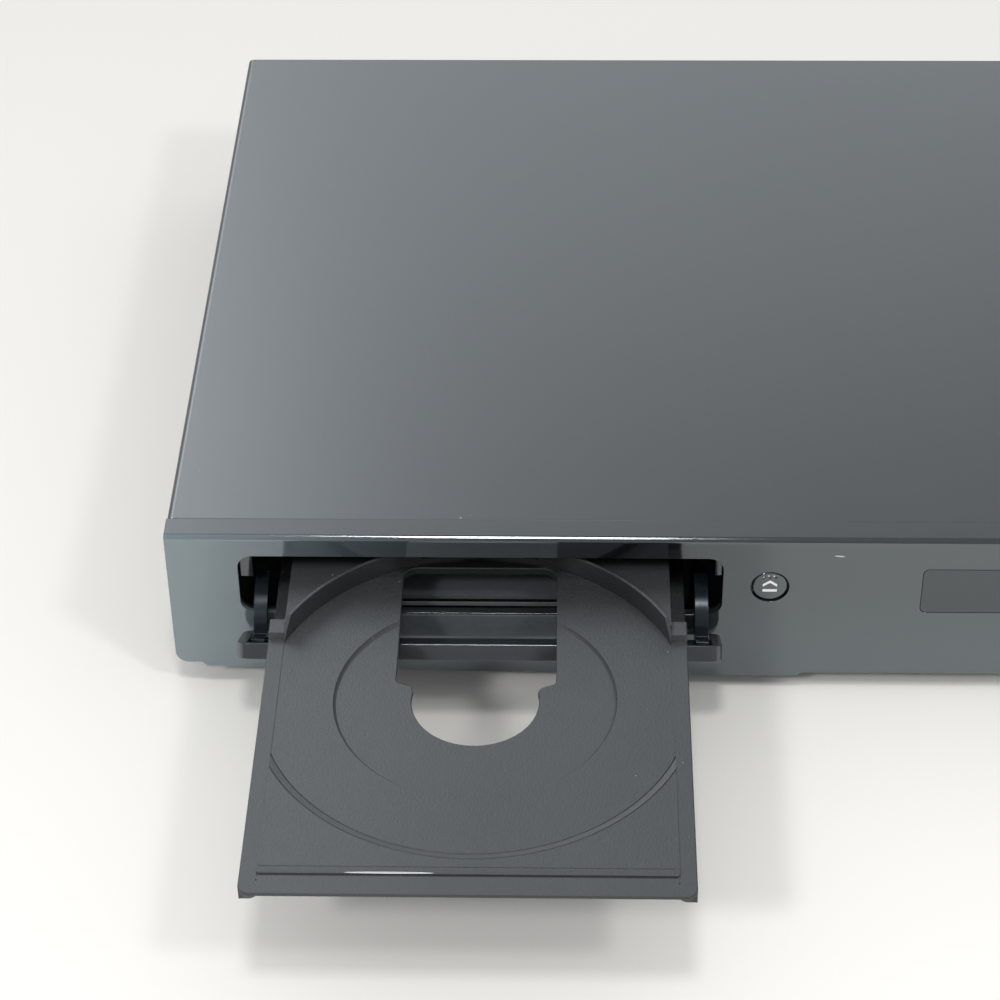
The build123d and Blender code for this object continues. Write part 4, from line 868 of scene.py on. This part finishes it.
# The jacks are a black block with a plated collar round each, and a coloured plastic ring
# in each collar's end that tells the signals apart. The colours are the usual ones.
jack_low, jack_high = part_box("av_jacks")
jack_pitch = 14 * mm
collar_reach = 7.7 * mm
ring_inner = 1.8 * mm
ring_outer = 3.3 * mm
ring_depth = 0.4 * mm
rows = (("yellow", "white", "red", "white", "red"), ("green", "blue", "red", "white", "red"))
ring_colours = {
    "white": (0.62, 0.62, 0.60, 1),
    "red": (0.48, 0.02, 0.02, 1),
    "yellow": (0.62, 0.45, 0.02, 1),
    "green": (0.02, 0.26, 0.06, 1),
    "blue": (0.02, 0.06, 0.40, 1),
}
jack = Finish("jack_block_and_collars")
jack_side = jack.axis("X") - jack_low.x
jack_down = jack_high.z - jack.axis("Z")
jack_end = jack.axis("Y") > jack_high.y - ring_depth
aside = jack_side % jack_pitch - jack_pitch / 2
above = jack_down % jack_pitch - jack_pitch / 2
jack_radius = (aside * aside + above * above) ** 0.5
jack_ring = (jack_radius > ring_inner) * (jack_radius < ring_outer) * jack_end
jack_metal = (jack.axis("Y") > jack_high.y - collar_reach) * (jack_radius > ring_inner)
jack_rows = []
for names in rows:
    row = ring_colours[names[0]]
    for column, name in enumerate(names[1:], 1):
        row = jack.tint(jack_side > column * jack_pitch, row, ring_colours[name])
    jack_rows.append(row)
jack.feed(
    Base_Color=jack.tint(
        jack_ring,
        jack.tint(jack_metal, grey(0.02), grey(0.50, 0.03)),
        jack.tint(jack_down > jack_pitch, *jack_rows),
    ),
    Metallic=jack_metal * (1 - jack_ring),
    Roughness=0.28 + jack.noise(700, 2) * 0.16,
)
eased("av_jacks", jack, 0.15 * mm)

# A grey shelf in front of the loading motor closes the drive towards the opening. A grey
# strip and a rib stiffen the sill, and two polished tabs of the fascia hang in the opening's
# upper corners as stops for the door.
shelf_half = 58 * mm
shelf_front = -71.0 * mm
shelf_back = -56.2 * mm
shelf_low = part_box("door_bracket_left")[1].z + 2.6 * mm
shelf_sheet = 1.4 * mm
sill_half = 57 * mm
sill_bars = (
    # front and back behind the fascia's face, bottom, top
    (-0.5 * mm, 0.1 * mm, 21.8 * mm, 30.0 * mm),
    (4.0 * mm, 4.4 * mm, 30.2 * mm, 31.4 * mm),
)
tab_front = 3.2 * mm
tab_sheet = 1.0 * mm
tab_faces = (
    # left and right of the tray's middle, bottom, top
    (-72.3 * mm, -68.6 * mm, 42.2 * mm, 53.1 * mm),
    (70.4 * mm, 72.2 * mm, 43.6 * mm, 49.4 * mm),
)

sill_grey = mottled(
    "sill_grey",
    (500, 3), (0.080, 0.091, 0.100, 1), (0.115, 0.128, 0.137, 1),
    (300, 2), 0.34, 0.15,
)
shelf = oblong(tray_x - shelf_half, tray_x + shelf_half, shelf_front, shelf_back)
shelf_parts = [plate(shelf, shelf_low, shelf_low + shelf_sheet, (0, 1))]
piece_from("drive_shelf", shelf_parts, sill_grey, "chassis")
sill_parts = []
for front, back, bottom, top in sill_bars:
    outline = oblong(tray_x - sill_half, tray_x + sill_half, bottom, top)
    sill_parts.append(plate(outline, face_y + front, face_y + back))
piece_from("sill_strip", sill_parts, sill_grey, "chassis")
tabs = []
for left, right, bottom, top in tab_faces:
    outline = oblong(tray_x + left, tray_x + right, bottom, top)
    tabs.append(plate(outline, face_y + tab_front, face_y + tab_front + tab_sheet))
piece_from("corner_tabs", tabs, polish, "chassis")

# The four feet are discs of moulded rubber under the base pan, dull and slightly dusty. The
# drive belt, a loop between two pulleys, is of the same rubber.
def dress(finish, *names):
    """Gives CAD nodes their finish in place of the plain one."""
    for name in names:
        nodes[name].data.materials.clear()
        nodes[name].data.materials.append(finish.material)


rubber = Finish("foot_rubber")
rubber_grain = rubber.noise(1100, 3)
rubber.feed(
    Base_Color=rubber.tint(rubber_grain, grey(0.018), grey(0.034)),
    Roughness=0.75 + rubber_grain * 0.15,
    Normal=rubber.relief(rubber_grain, 0.04 * mm),
)
eased("rubber_feet", rubber, 0.3 * mm)
dress(rubber, "drive_belt")

# The main and the front board are glass fibre under green lacquer and the power board is
# brown paper laminate, all with etched tracks. Steel screws and brass posts hold them.
green_board = ((0.010, 0.060, 0.030, 1), (0.020, 0.110, 0.055, 1))
brown_board = ((0.20, 0.12, 0.04, 1), (0.30, 0.19, 0.07, 1))
for name, colours, boards in (
    ("green_board", green_board, ("main_board", "front_board")),
    ("brown_board", brown_board, ("power_board",)),
):
    board = Finish(name, IOR=1.5)
    track_sockets = {"Vector": board.place, "Scale": 260.0, "Mortar Size": 0.03}
    tracks = board.node("ShaderNodeTexBrick", {}, track_sockets, "Fac")
    board.feed(
        Base_Color=board.tint(tracks * 0.6 + board.noise(700, 2) * 0.4, *colours),
        Roughness=0.30 + board.noise(500, 2) * 0.15,
        Normal=board.relief(tracks, 0.03 * mm),
    )
    dress(board, *boards)
brass = mottled(
    "brass",
    (400, 2), (0.55, 0.40, 0.16, 1), (0.70, 0.54, 0.26, 1),
    (600, 2), 0.28, 0.12,
    Metallic=1.0,
)
steel = mottled(
    "pressed_steel",
    (300, 3, (1, 6, 1)), grey(0.30), grey(0.44),
    (500, 2), 0.36, 0.15,
    Metallic=1.0,
)
dress(brass, "standoffs")
dress(steel, "board_screws", "heat_sink")
dress(moulded, "board_chips")

# The drive is a moulded black frame that carries a pressed steel bridge, carriage and rods,
# motors in steel cans, and a gear, pulley, slide and flat cable of white plastic.
dress(moulded, "drive_frame", "clamper_puck", "turntable")
dress(steel, "clamper_bridge", "traverse", "guide_rods", "lead_screw", "pickup_sled")
dress(steel, "loading_motor", "spindle_motor", "sled_motor")
acetal = mottled(
    "white_acetal",
    (300, 2), grey(0.66, 0.02), grey(0.76, 0.02),
    (600, 2), 0.38, 0.1,
    Subsurface_Weight=0.05,
)
dress(acetal, "drive_gear", "motor_pulley", "cam_slide", "flat_cable")

# The cover and the rear panel are held by steel screws with blackened heads, driven in from
# the sides and the back. They are the only fasteners that show from outside.
screw_black = mottled(
    "screw_black",
    (900, 2), grey(0.03), grey(0.06),
    (700, 2), 0.35, 0.15,
    Metallic=0.6,
)
eased("cover_screws", screw_black, 0.3 * mm)
eased("rear_screws", screw_black, 0.3 * mm)

# The transformer is wound under yellow tape, the capacitors are cans in blue sleeves, and
# the display and the pickup's lens are dark clear glass.
winding = mottled(
    "yellow_tape",
    (200, 2, (1, 1, 8)), (0.45, 0.33, 0.03, 1), (0.62, 0.48, 0.06, 1),
    (500, 2), 0.4, 0.1,
)
dress(winding, "power_transformer")
sleeve = mottled(
    "blue_sleeve",
    (300, 2), (0.010, 0.014, 0.05, 1), (0.02, 0.03, 0.09, 1),
    (500, 2), 0.3, 0.1,
)
dress(sleeve, "power_capacitors")
glass = mottled(
    "display_glass",
    (250, 2), (0.02, 0.035, 0.035, 1), (0.04, 0.06, 0.06, 1),
    (500, 2), 0.05, 0.05,
    IOR=1.5,
)
dress(glass, "display_module", "objective_lens")
